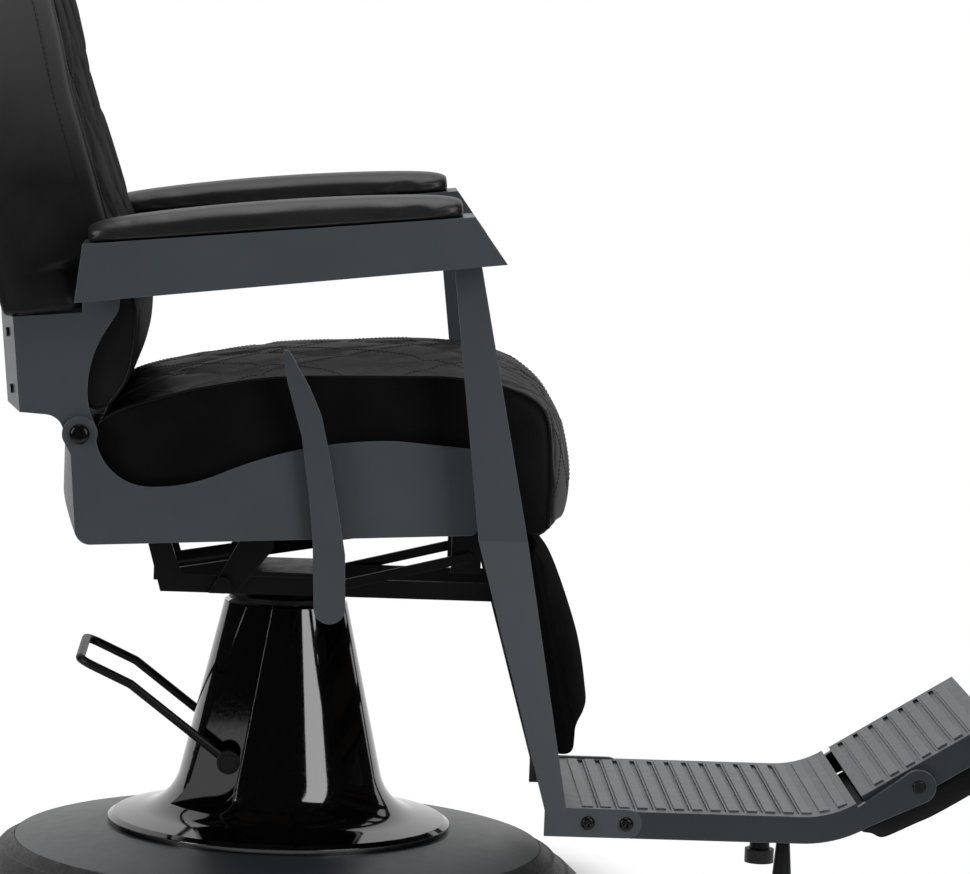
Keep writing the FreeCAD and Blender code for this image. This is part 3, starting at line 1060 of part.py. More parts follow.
def deck_nodes():
    under, bend = "deck_top - deck_depth", "deck_bend_radius"
    outer = "deck_bend_radius + deck_depth"
    centre_z = "deck_top + deck_bend_radius"
    end_top = ("deck_bend_x + %s*sin(deck_rise)" % bend, "%s - %s*cos(deck_rise)" % (centre_z, bend))
    end_low = ("deck_bend_x + (%s)*sin(deck_rise)" % outer, "%s - (%s)*cos(deck_rise)" % (centre_z, outer))
    deck = Piece("footrest_platform")
    deck.prism("XZ", [("deck_rear", under), ("deck_bend_x", under, outer), end_low,
                      (end_top[0], end_top[1], "-" + bend),
                      ("deck_bend_x", "deck_top"), ("deck_rear", "deck_top")], "-deck_half", "deck_half")
    ear = "flip_ear_radius"
    ear_in = "deck_half - deck_wall"
    for sign in ("-1", "1"):
        span = ("%s*(%s)" % (sign, ear_in), sign + "*deck_half")
        deck.prism("XZ", [rise("-flip_rear - 24", "-9"), rise("0", "-" + ear) + (ear,),
                          rise(ear, "0") + (ear,),
                          rise("0", ear),
                          rise("-flip_rear - 24", "13")], *span)
        deck.round("XZ", "flip_pin_x", "flip_pin_z", "flip_pin_radius + running_gap", *span, cut=True)
        nose = "(tab_top - tab_foot)/2 + soft_gap"
        middle = "tab_front - (tab_top - tab_foot)/2"
        deck.prism("XZ", [("deck_rear - 1", "tab_foot - soft_gap"), (middle, "tab_foot - soft_gap", nose),
                          (middle + " + " + nose, "(tab_foot + tab_top)/2", nose),
                          (middle, "tab_top + soft_gap"),
                          ("deck_rear - 1", "tab_top + soft_gap")], sign + "*(deck_half - post_sheet)",
                          sign + "*(deck_half + 1)", cut=True)
    wall = "deck_half - post_sheet - deck_wall"
    deck.prism("XZ", [("deck_rear + deck_wall", under + " - 1"), ("deck_solid", under + " - 1"),
                      ("deck_solid", "deck_top - deck_skin"),
                      ("deck_rear + deck_wall", "deck_top - deck_skin")],
               "-(%s)" % wall, wall, cut=True)
    for sign in ("-1", "1"):
        for bolt_x in ("foot_bolt_rear", "foot_bolt_front"):
            deck.round("XZ", bolt_x, "(tab_foot + tab_top)/2", "foot_bolt_radius/2 + soft_gap",
                       sign + "*(%s)" % wall,
                       sign + "*(deck_half - post_sheet)", cut=True)
    count = int((value("deck_bend_x - bar_first")) // value("bar_pitch")) + 1
    comb = [("bar_first - 8", "deck_top + 2")]
    for step in range(count):
        start = "bar_first + bar_pitch*%d" % step
        finish = start + " + bar_pitch - bar_width"
        comb += [(start, "deck_top + 2"), (start, "deck_top - bar_height"),
                 (finish, "deck_top - bar_height"), (finish, "deck_top + 2")]
    comb += [(finish + " + 3", "deck_top + 2"), (finish + " + 3", "deck_top + 6"),
             ("bar_first - 8", "deck_top + 6")]
    deck.prism("XZ", comb, "-bar_half", "bar_half", cut=True)
    bolts = []
    for side in ("right", "left"):
        sign = side_sign(side)
        for bolt_x in ("foot_bolt_rear", "foot_bolt_front"):
            low = "min(%s*(%s); %s*deck_half)" % (sign, wall, sign)
            head_low = "min(%s*deck_half; %s*(deck_half + foot_bolt_head))" % (sign, sign)
            bolt = doc.addObject("Part::Fuse", "bolt")
            bolt.Base = cylinder("foot_bolt_radius/2", "deck_half - (%s)" % wall, bolt_x, low,
                                 "(tab_foot + tab_top)/2", "y")
            bolt.Tool = cylinder("foot_bolt_radius", "foot_bolt_head", bolt_x, head_low,
                                 "(tab_foot + tab_top)/2", "y")
            bolts.append(bolt)
    joined("group", bolts, "footrest_bolts")
    legs, feet = [], []
    for sign in ("-1", "1"):
        leg = doc.addObject("Part::Cone", "leg")
        foot_z = "floor_gap + leg_rubber"
        leg.setExpression("Radius1", bound("leg_foot_radius"))
        leg.setExpression("Radius2", bound("leg_top_radius"))
        leg.setExpression("Height", bound("deck_top - deck_depth - (%s)" % foot_z))
        for axis, text in zip("xyz", ("leg_x", sign + "*leg_half", foot_z)):
            leg.setExpression("Placement.Base." + axis, bound(text))
        legs.append(leg)
        feet.append(cylinder("leg_rubber_radius", "leg_rubber", "leg_x", sign + "*leg_half", "floor_gap",
                             "z"))
    joined("group", legs, "support_legs")
    joined("group", feet, "leg_feet")
    flip_nodes(ear_in)


def flip_nodes(ear_in):
    half = "%s - flip_play" % ear_in
    flip = Piece("flip_plate")
    flip.prism("XZ", [("-flip_rear", "-flip_below"), ("flip_front", "-flip_below"),
                      ("flip_front", "flip_above"),
                      ("-flip_rear", "flip_above")], "-(%s)" % half, half)
    wall = "%s - flip_wall" % half
    flip.prism("XZ", [("flip_wall - flip_rear", "-flip_below - 1"),
                      ("flip_front - flip_wall", "-flip_below - 1"),
                      ("flip_front - flip_wall", "flip_above - deck_skin"),
                      ("flip_wall - flip_rear", "flip_above - deck_skin")],
               "-(%s)" % wall, wall, cut=True)
    for sign in ("-1", "1"):
        flip.round("XZ", "0", "0", "flip_pin_radius + running_gap", "%s*(%s)" % (sign, wall),
                   "%s*(%s)" % (sign, half), cut=True)
    count = int(value("flip_rear + flip_front - 10") // value("bar_pitch"))
    first = "10 - flip_rear"
    comb = [(first + " - 4", "flip_above + 2")]
    for step in range(count):
        start = "%s + bar_pitch*%d" % (first, step)
        finish = start + " + bar_pitch - bar_width"
        comb += [(start, "flip_above + 2"), (start, "flip_above - bar_height"),
                 (finish, "flip_above - bar_height"),
                 (finish, "flip_above + 2")]
    comb += [(finish + " + 3", "flip_above + 2"), (finish + " + 3", "flip_above + 6"),
             (first + " - 4", "flip_above + 6")]
    flip.prism("XZ", comb, "-bar_half + 6", "bar_half - 6", cut=True)
    place(flip.body, "flip_pin_x", "0", "flip_pin_z", "deck_rise")
    rear, front = value("10 - flip_rear"), value("flip_front - 6")
    top, low = value("-flip_below"), value("-flip_below - flip_pad")

    def section(extra):
        run = [(rear, top - 2), (rear + 3, low + 6 - extra), (rear + 14, low + 4 - extra),
               (front - 14, low + 4 - extra),
               (front - 3, low + 6 - extra), (front, top - 2)]
        return [(run, 8), ([run[-1], (front - 4, top), (rear + 4, top), run[0]], 3)]

    pad = cushion("flip_pad", value(half + " - 12"), section(4), section(0), 8, 6, 4, inset="small_inset")
    place(pad, "flip_pin_x", "0", "flip_pin_z", "deck_rise")
    pins = []
    for sign in ("-1", "1"):
        low_end = "min(%s*(%s - 6); %s*(deck_half + 3))" % (sign, wall, sign)
        pins.append(cylinder("flip_pin_radius", "deck_half + 3 - (%s - 6)" % wall, "flip_pin_x", low_end,
                             "flip_pin_z", "y"))
    joined("group", pins, "flip_pins")


def calf_nodes():
    tilt = "calf_tilt"

    def at(n, v):
        return ("calf_x + (%s)*cos(%s) - (%s)*sin(%s)" % (n, tilt, v, tilt),
                "calf_z + (%s)*sin(%s) + (%s)*cos(%s)" % (n, tilt, v, tilt))

    board = Piece("calf_board")
    board.prism("XZ", [at("-calf_board", "10"), at("0", "10"), at("0", "calf_board_height"),
                       at("-calf_board", "calf_board_height")],
                "-(calf_half - 8)", "calf_half - 8")
    for name, low in (("lower", "30"), ("upper", "calf_board_height - strap_height - 6")):
        strap = Piece("calf_strap_" + name)
        rear = "-calf_board - strap_thickness"
        strap.prism("XZ", [at(rear, low), at("-calf_board", low),
                           at("-calf_board", low + " + strap_height"), at(rear, low + " + strap_height")],
                    "-post_inner", "post_inner")
        for sign in ("-1", "1"):
            low_z, high_z = "calf_z - 20", "post_bend"
            strap.prism("YZ", [("%s*(%s)" % (sign, post_inner_at(low_z)), low_z),
                               (sign + "*(post_inner + 100)", low_z),
                               (sign + "*(post_inner + 100)", high_z), (sign + "*post_inner", high_z)],
                        "post_top_rear", "tab_front", cut=True)
    height, depth = "calf_height", "calf_depth"
    edge = [at("2", "0"), at(depth + " - 6", "2"), at(depth, "10"), at(depth, "calf_height*0.5"),
            at(depth + " - 2", height + " - 14"),
            at("14", height)]
    full = "calf_depth + calf_crown"
    centre = [at("2", "0"), at(depth + " - 4", "6"), at(full + " - 10", "24"), at(full, "calf_height*0.45"),
              at(full + " - 12", height + " - 26"),
              at("18", height)]
    upright = ("foot_pivot_x + post_boss_radius + 5", "foot_pivot_z")
    rear = [("foot_pivot_x + post_boss_radius + 4", "foot_pivot_z + 50"), upright,
            at("0.0", "calf_board_height + 4")]

    def section(front):
        run = list(reversed(numbers(front)))
        behind = list(reversed(numbers(rear)))
        return [(run, 10), ([run[-1], behind[0]], 2), (behind[0:2], 1), (behind[1:3], 1),
                ([behind[2], run[0]], 1)]

    cushion("calf_pad", value("calf_half - 5"), section(centre), section(edge), 10, 8, 5)


def finish():
    """Checks every piece and writes one file for each."""
    doc.recompute()
    for part in doc.Objects:
        if "Invalid" in part.State or "Error" in part.State:
            raise RuntimeError("%s is not right: %s" % (part.Label, part.State))
    os.makedirs("parts", exist_ok=True)
    for part in NODES:
        if part.Shape.isNull() or not part.Shape.isValid():
            raise RuntimeError("%s has no valid shape" % part.Label)
        if not part.Shape.Solids:
            raise RuntimeError("%s has no solid" % part.Label)
        part.Shape.exportStep("parts/%s.step" % part.Label)
        print(part.Label, len(part.Shape.Solids), round(part.Shape.Volume / 1000), part.Shape.BoundBox)


base_nodes()
column_nodes()
underframe_nodes()
seat_nodes()
lever_nodes()
back_nodes()
arm_nodes()
post_nodes()
deck_nodes()
calf_nodes()
finish()
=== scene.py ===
"""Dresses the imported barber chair: finishes, upholstery, stitching, light and camera. Lengths are metres."""

import json
import math

import bmesh
import bpy
from mathutils import Matrix, Vector


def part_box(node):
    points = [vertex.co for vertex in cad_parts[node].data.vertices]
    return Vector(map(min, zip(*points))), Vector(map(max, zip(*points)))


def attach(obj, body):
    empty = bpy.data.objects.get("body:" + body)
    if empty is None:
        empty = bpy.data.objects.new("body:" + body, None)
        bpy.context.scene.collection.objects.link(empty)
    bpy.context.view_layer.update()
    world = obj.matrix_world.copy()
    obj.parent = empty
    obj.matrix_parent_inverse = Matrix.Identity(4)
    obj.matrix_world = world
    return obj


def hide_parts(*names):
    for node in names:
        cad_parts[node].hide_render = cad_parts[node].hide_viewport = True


MM = 0.001
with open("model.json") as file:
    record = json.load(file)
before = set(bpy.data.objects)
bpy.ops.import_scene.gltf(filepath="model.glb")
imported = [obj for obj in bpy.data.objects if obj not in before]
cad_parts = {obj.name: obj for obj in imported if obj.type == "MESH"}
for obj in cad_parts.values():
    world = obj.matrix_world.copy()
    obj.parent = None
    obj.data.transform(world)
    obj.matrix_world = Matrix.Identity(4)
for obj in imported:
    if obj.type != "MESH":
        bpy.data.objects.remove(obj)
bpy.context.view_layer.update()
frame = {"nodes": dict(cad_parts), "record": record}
SCENE = bpy.context.scene
SIM_FRAMES = 20


# Procedural finishes

class Finish:
    """One material, built up from texture nodes in the object's own coordinates."""

    def __init__(self, name, colour, roughness, metallic=0.0, specular=0.5):
        self.material = bpy.data.materials.new(name)
        self.material.use_nodes = True
        self.tree = self.material.node_tree
        self.shader = self.tree.nodes["Principled BSDF"]
        self.place = self.add("ShaderNodeTexCoord").outputs["Object"]
        self.set(self.shader, "Base Color", (*colour, 1))
        self.set(self.shader, "Roughness", roughness)
        self.set(self.shader, "Metallic", metallic)
        self.set(self.shader, "Specular IOR Level", specular)

    def add(self, kind, **settings):
        node = self.tree.nodes.new(kind)
        for key, value in settings.items():
            setattr(node, key, value)
        return node

    def set(self, node, socket, value):
        node.inputs[socket].default_value = value

    def link(self, source, node, socket):
        self.tree.links.new(source, node.inputs[socket])

    def feed(self, socket, source):
        """Links a source into the surface shader."""
        self.link(source, self.shader, socket)

    def stretched(self, scale):
        """The object's coordinates scaled unevenly, for brushed and streaked textures."""
        mapping = self.add("ShaderNodeMapping")
        self.link(self.place, mapping, "Vector")
        self.set(mapping, "Scale", scale)
        return mapping.outputs["Vector"]

    def noise(self, scale, detail=3.0, place=None):
        node = self.add("ShaderNodeTexNoise")
        self.link(place or self.place, node, "Vector")
        self.set(node, "Scale", scale)
        self.set(node, "Detail", detail)
        return node.outputs["Fac"]

    def cells(self, scale, feature="F1"):
        node = self.add("ShaderNodeTexVoronoi", feature=feature)
        self.link(self.place, node, "Vector")
        self.set(node, "Scale", scale)
        return node.outputs["Distance"]

    def spread(self, value, low, high, to_low, to_high):
        node = self.add("ShaderNodeMapRange")
        self.link(value, node, "Value")
        sockets = ("From Min", "From Max", "To Min", "To Max")
        for socket, number in zip(sockets, (low, high, to_low, to_high)):
            self.set(node, socket, number)
        return node.outputs["Result"]

    def tint(self, factor, low, high):
        """A colour between two, chosen by factor. The low one may come from another tint."""
        node = self.add("ShaderNodeMix", data_type="RGBA")
        self.link(factor, node, "Factor")
        first, second = [socket for socket in node.inputs if socket.type == "RGBA"]
        if isinstance(low, bpy.types.NodeSocket):
            self.tree.links.new(low, first)
        else:
            first.default_value = (*low, 1)
        second.default_value = (*high, 1)
        return next(socket for socket in node.outputs if socket.type == "RGBA")

    def soft_edges(self, radius):
        """Normals rounded off along sharp edges."""
        node = self.add("ShaderNodeBevel", samples=6)
        self.set(node, "Radius", radius)
        return node.outputs["Normal"]

    def edge_mask(self, rounded):
        """1 on the rounded edges, 0 on the flats."""
        geometry = self.add("ShaderNodeNewGeometry")
        dot = self.add("ShaderNodeVectorMath", operation="DOT_PRODUCT")
        self.link(rounded, dot, 0)
        self.link(geometry.outputs["Normal"], dot, 1)
        return self.spread(dot.outputs["Value"], 0.995, 0.86, 0.0, 1.0)

    def bump(self, height, distance, strength=1.0, normal=None):
        node = self.add("ShaderNodeBump")
        self.link(height, node, "Height")
        self.set(node, "Distance", distance)
        self.set(node, "Strength", strength)
        if normal:
            self.link(normal, node, "Normal")
        return node.outputs["Normal"]


def satin_paint(name, colour, worn_and_lit_colour, roughness, specular=0.4, grain=900, edge=1.2):
    """Powder coat: fine orange peel, faint cloudiness, and edges lighter in scuffed patches, partly worn paint
    and partly a painted highlight.
    """
    finish = Finish(name, colour, roughness, specular=specular)
    rounded = finish.soft_edges(edge * MM)
    cloud = finish.noise(9, 4)
    darker, lighter = [c * 0.96 for c in colour], [c * 1.04 for c in colour]
    shade = finish.tint(finish.spread(cloud, 0.3, 0.7, 0, 1), darker, lighter)
    scuffs = finish.noise(60, 6)
    # Edges take the lighter colour in scuffed patches: partly worn paint, partly a painted highlight along the
    # edges.
    edge_wear_and_highlight = finish.add("ShaderNodeMath", operation="MULTIPLY")
    finish.link(finish.edge_mask(rounded), edge_wear_and_highlight, 0)
    finish.link(finish.spread(scuffs, 0.35, 0.65, 0.25, 1.0), edge_wear_and_highlight, 1)
    finish.feed("Base Color", finish.tint(edge_wear_and_highlight.outputs["Value"], shade, worn_and_lit_colour))
    peel = finish.noise(grain, 2)
    finish.feed("Roughness", finish.spread(scuffs, 0.3, 0.7, roughness - 0.02, roughness + 0.02))
    finish.feed("Normal", finish.bump(peel, 0.12 * MM, 0.5, rounded))
    return finish.material


def leather(name, colour, worn_and_lit_colour, roughness, gloss, painted_light_heights=None):
    """Smooth upholstery hide: pebbled grain, fine creases and a thin dressing that shines a little.

    The second colour comes in clouds of uneven tone. Where two heights are given, it also grows towards the
    upper one: painted light, a painted sheen on the upper part.
    """
    finish = Finish(name, colour, 0.65, specular=0.0)
    finish.set(finish.shader, "Coat Weight", gloss)
    finish.set(finish.shader, "Coat Roughness", roughness)
    cloud = finish.noise(14, 5)
    share = finish.spread(cloud, 0.3, 0.72, 0, 1)
    # Painted light: between the two heights the hide turns to its lighter colour towards the top.
    if painted_light_heights:
        height = finish.add("ShaderNodeSeparateXYZ")
        finish.link(finish.place, height, "Vector")
        blend = finish.add("ShaderNodeMath", operation="ADD", use_clamp=True)
        finish.link(finish.spread(height.outputs["Z"], painted_light_heights[0], painted_light_heights[1], 0.0, 1.0), blend, 0)
        finish.link(finish.spread(cloud, 0.3, 0.72, -0.06, 0.06), blend, 1)
        share = blend.outputs["Value"]
    finish.feed("Base Color", finish.tint(share, colour, worn_and_lit_colour))
    pebbles = finish.cells(620, "SMOOTH_F1")
    pores = finish.noise(1500, 2)
    creases = finish.noise(120, 6)
    first = finish.bump(finish.spread(pebbles, 0.0, 0.6, 1, 0), 0.14 * MM, 0.5)
    second = finish.bump(pores, 0.06 * MM, 0.4, first)
    third = finish.bump(creases, 0.3 * MM, 0.22, second)
    for socket in ("Normal", "Coat Normal"):
        finish.feed(socket, third)
    finish.feed("Roughness", finish.spread(creases, 0.3, 0.7, 0.6, 0.72))
    return finish.material


def gloss_black(name, colour):
    """Polished moulded cover with slight waviness and a trace of dust."""
    finish = Finish(name, colour, 0.07, specular=0.65)
    rounded = finish.soft_edges(1.5 * MM)
    dust = finish.noise(240, 8)
    dusty = [c + 0.006 for c in colour]
    finish.feed("Base Color", finish.tint(finish.spread(dust, 0.62, 0.8, 0, 1), colour, dusty))
    finish.feed("Roughness", finish.spread(dust, 0.4, 0.75, 0.05, 0.1))
    finish.feed("Normal", finish.bump(finish.noise(24, 2), 0.5 * MM, 0.12, rounded))
    return finish.material


def speckled_rubber(name, colour, fleck):
    """Moulded rubber with a fine crackle skin."""
    finish = Finish(name, colour, 0.5, specular=0.35)
    rounded = finish.soft_edges(2.0 * MM)
    crackle = finish.cells(330, "DISTANCE_TO_EDGE")
    patches = finish.noise(45, 5)
    finish.feed("Base Color", finish.tint(finish.spread(patches, 0.42, 0.62, 0, 1), colour, fleck))
    finish.feed("Roughness", finish.spread(crackle, 0.0, 0.12, 0.75, 0.42))
    skin = finish.bump(finish.spread(crackle, 0.0, 0.15, 0, 1), 0.5 * MM, 0.7, rounded)
    finish.feed("Normal", finish.bump(patches, 0.4 * MM, 0.4, skin))
    return finish.material


def dark_steel(name, colour, worn_and_lit_colour, polish=0.42):
    """Blackened steel with faint drawing marks and lighter edges, partly rubbed steel and partly a painted
    highlight.
    """
    finish = Finish(name, colour, polish, specular=0.2)
    rounded = finish.soft_edges(0.8 * MM)
    marks = finish.noise(3, 6, finish.stretched((40, 40, 900)))
    # Lighter edges: partly rubbed steel, partly a painted highlight.
    rubbed_and_lit_edges = finish.edge_mask(rounded)
    finish.feed("Base Color", finish.tint(rubbed_and_lit_edges, colour, worn_and_lit_colour))
    finish.feed("Roughness", finish.spread(marks, 0.3, 0.7, polish - 0.07, polish + 0.08))
    finish.feed("Normal", finish.bump(marks, 0.1 * MM, 0.4, rounded))
    return finish.material


def bright_steel(name):
    """Zinc-bright steel with fine turning lines."""
    low, high = (0.42, 0.42, 0.43), (0.62, 0.62, 0.64)
    finish = Finish(name, high, 0.28, metallic=1.0)
    rounded = finish.soft_edges(0.6 * MM)
    lines = finish.noise(2, 5, finish.stretched((60, 60, 1600)))
    finish.feed("Base Color", finish.tint(lines, low, high))
    finish.feed("Roughness", finish.spread(lines, 0.3, 0.7, 0.2, 0.38))
    finish.feed("Normal", finish.bump(lines, 0.08 * MM, 0.5, rounded))
    return finish.material


def plywood(name):
    """Dark-stained board with long streaks of grain."""
    low, high = (0.045, 0.032, 0.020), (0.085, 0.064, 0.042)
    finish = Finish(name, high, 0.7, specular=0.2)
    streaks = finish.noise(6, 6, finish.stretched((3, 60, 60)))
    finish.feed("Base Color", finish.tint(finish.spread(streaks, 0.3, 0.7, 0, 1), low, high))
    finish.feed("Roughness", finish.spread(streaks, 0.3, 0.7, 0.6, 0.8))
    finish.feed("Normal", finish.bump(streaks, 0.3 * MM, 0.5))
    return finish.material


def thread(name, colour):
    """Twisted sewing thread."""
    finish = Finish(name, colour, 0.6, specular=0.25)
    twist = finish.noise(1400, 2)
    finish.feed("Base Color", finish.tint(twist, [c * 0.7 for c in colour], [c * 1.4 for c in colour]))
    finish.feed("Normal", finish.bump(twist, 0.2 * MM, 0.6))
    return finish.material


HIDE = leather("upholstery_hide", (0.002, 0.002, 0.0022), (0.0038, 0.0038, 0.004), 0.36, 0.31)
# The back shell's hide is a lighter copy of the upholstery hide and grows lighter towards the top: painted
# light, a painted sheen from above and behind.
BACK_HIDE_PAINTED_LIGHT = leather("back_side_hide_painted_light", (0.0085, 0.0085, 0.0088), (0.060, 0.060, 0.0607), 0.36, 0.25,
                    painted_light_heights=(0.79, 1.04))
CALF_HIDE = leather("calf_pad_hide", (0.0018, 0.0018, 0.002), (0.003, 0.003, 0.0032), 0.5, 0.05)
FRONT_HIDE = leather("back_front_hide", (0.006, 0.006, 0.0063), (0.0085, 0.0085, 0.0088), 0.44, 0.14)
ARM_SKIN = leather("arm_pad_skin", (0.006, 0.006, 0.0063), (0.011, 0.011, 0.0113), 0.42, 0.75)
THREAD = thread("upholstery_thread", (0.004, 0.004, 0.0042))
# The paint and steel finishes take their second, lighter colour on their edges: partly wear, partly a painted
# highlight.
FINISHES = {
    "frame_paint": satin_paint("slate_powder_coat", (0.0385, 0.0465, 0.053), (0.10, 0.115, 0.13), 0.42, 0.35),
    "footrest_metal": satin_paint("cast_footrest_paint", (0.013, 0.017, 0.021), (0.13, 0.14, 0.15), 0.4, 0.4,
                                  grain=700, edge=1.6),
    "upholstery": HIDE,
    "board": plywood("stained_board"),
    "gloss_cover": gloss_black("gloss_black_cover", (0.001, 0.001, 0.0012)),
    "base_paint": satin_paint("base_dish_paint", (0.018, 0.022, 0.025), (0.08, 0.09, 0.10), 0.42, 0.4,
                              grain=800),
    "base_rubber": speckled_rubber("speckled_ring_rubber", (0.007, 0.007, 0.0075), (0.024, 0.024, 0.025)),
    "black_metal": dark_steel("black_hardware_steel", (0.003, 0.003, 0.0033), (0.03, 0.03, 0.032)),
    "bright_steel": bright_steel("zinc_bright_steel"),
}

# The tread bars' paint is a lighter copy of the footrest's own: painted light on the bar tops, so the deck
# between them reads as shaded grooves. Its edge colour, like the bolts' below, is partly wear and partly a
# painted highlight.
TREAD_LIT_PAINT = satin_paint("tread_paint_painted_light", (0.030, 0.034, 0.038), (0.14, 0.15, 0.16), 0.4, 0.45,
                    grain=700, edge=0.8)
BOLT_STEEL = dark_steel("polished_black_bolt", (0.003, 0.003, 0.0033), (0.02, 0.02, 0.021), polish=0.2)


def dress_nodes():
    """Gives every solid that stays the finish of its slot."""
    slots = {part["node"]: part["material_slot"] for part in frame["record"]["subparts"]}
    for name, solid in frame["nodes"].items():
        solid.data.materials.clear()
        solid.data.materials.append(FINISHES[slots[name]])


# Curves and meshes

def catmull(before, start, end, after, t):
    """A point on the smooth curve between start and end."""
    return 0.5 * ((2 * start) + (end - before) * t + (2 * before - 5 * start + 4 * end - after) * t * t
                  + (3 * start - before - 3 * end + after) * t * t * t)


def evenly(points, cells):
    """The run of points resampled at equal lengths."""
    lengths = [0.0]
    for a, b in zip(points, points[1:]):
        lengths.append(lengths[-1] + (b - a).length)
    result = []
    index = 0
    for step in range(cells + 1):
        target = lengths[-1] * step / cells
        while index < len(points) - 2 and lengths[index + 1] < target:
            index += 1
        gap = lengths[index + 1] - lengths[index] or 1.0
        result.append(points[index].lerp(points[index + 1], (target - lengths[index]) / gap))
    return result


def smooth_run(corners, parts):
    """Points along a smooth curve through corners. parts lists (last corner of the part, cells in it)."""
    corners = [Vector(corner) for corner in corners]
    dense, marks, last = [], [], len(corners) - 1
    for i in range(last):
        marks.append(len(dense))
        before, after = corners[max(i - 1, 0)], corners[min(i + 2, last)]
        dense += [catmull(before, corners[i], corners[i + 1], after, step / 12) for step in range(12)]
    marks.append(len(dense))
    dense.append(corners[-1])
    run, first = [], 0
    for corner, cells in parts:
        run += evenly(dense[marks[first]:marks[corner] + 1], cells)[:-1]
        first = corner
    return run + [dense[-1]]


def straight_run(corners, cells):
    """Points along straight lines, without the two ends."""
    return evenly([Vector(corner) for corner in corners], cells)[1:-1]


def new_object(name, points, faces, material, smooth=True):
    mesh = bpy.data.meshes.new(name)
    mesh.from_pydata([tuple(point) for point in points], [], faces)
    mesh.validate()
    mesh.update()
    piece = bpy.data.objects.new(name, mesh)
    SCENE.collection.objects.link(piece)
    mesh.materials.append(material)
    mesh.polygons.foreach_set("use_smooth", [smooth] * len(mesh.polygons))
    return piece


def crease_edges(piece, pairs, amount):
    """Keeps the given vertex pairs sharp under subdivision."""
    wanted = {tuple(sorted(pair)) for pair in pairs}
    attributes = piece.data.attributes
    layer = attributes.get("crease_edge") or attributes.new("crease_edge", "FLOAT", "EDGE")
    for edge in piece.data.edges:
        if tuple(sorted(edge.vertices)) in wanted:
            layer.data[edge.index].value = amount


def face_outward(piece):
    """Turns every face outward and splits the many-sided ones."""
    work = bmesh.new()
    work.from_mesh(piece.data)
    wide = [face for face in work.faces if len(face.verts) > 4]
    if wide:
        bmesh.ops.triangulate(work, faces=wide, quad_method="BEAUTY", ngon_method="BEAUTY")
    bmesh.ops.recalc_face_normals(work, faces=work.faces)
    work.to_mesh(piece.data)
    work.free()


def subdivide(piece, levels=1):
    modifier = piece.modifiers.new("Subdivision", "SUBSURF")
    modifier.levels = levels
    modifier.render_levels = levels


def inflate(piece, pinned, pressure, spare, limit):
    """Blows a sewn cover up like filled cloth. Pinned points stay; a point moves by limit at most, softly."""
    group = piece.vertex_groups.new(name="sewn")
    group.add(sorted(pinned), 1.0, "REPLACE")
    cloth = piece.modifiers.new("Cloth", "CLOTH")
    settings = cloth.settings
    settings.quality = 6
    settings.mass = 0.3
    settings.tension_stiffness = 18
    settings.compression_stiffness = 18
    settings.shear_stiffness = 8
    settings.bending_stiffness = 1.2
    settings.air_damping = 2
    settings.use_pressure = True
    settings.uniform_pressure_force = pressure
    settings.shrink_min = -spare
    settings.vertex_group_mass = "sewn"
    settings.effector_weights.gravity = 0
    cloth.point_cache.frame_start = 1
    cloth.point_cache.frame_end = SIM_FRAMES
    for step in range(1, SIM_FRAMES + 1):
        SCENE.frame_set(step)
    evaluated = piece.evaluated_get(bpy.context.evaluated_depsgraph_get())
    moved = [vertex.co.copy() for vertex in evaluated.data.vertices]
    piece.modifiers.remove(cloth)
    SCENE.frame_set(1)
    for vertex, target in zip(piece.data.vertices, moved):
        move = target - vertex.co
        if move.length > 1e-7:
            vertex.co += move * (limit * math.tanh(move.length / limit) / move.length)
    piece.data.update()


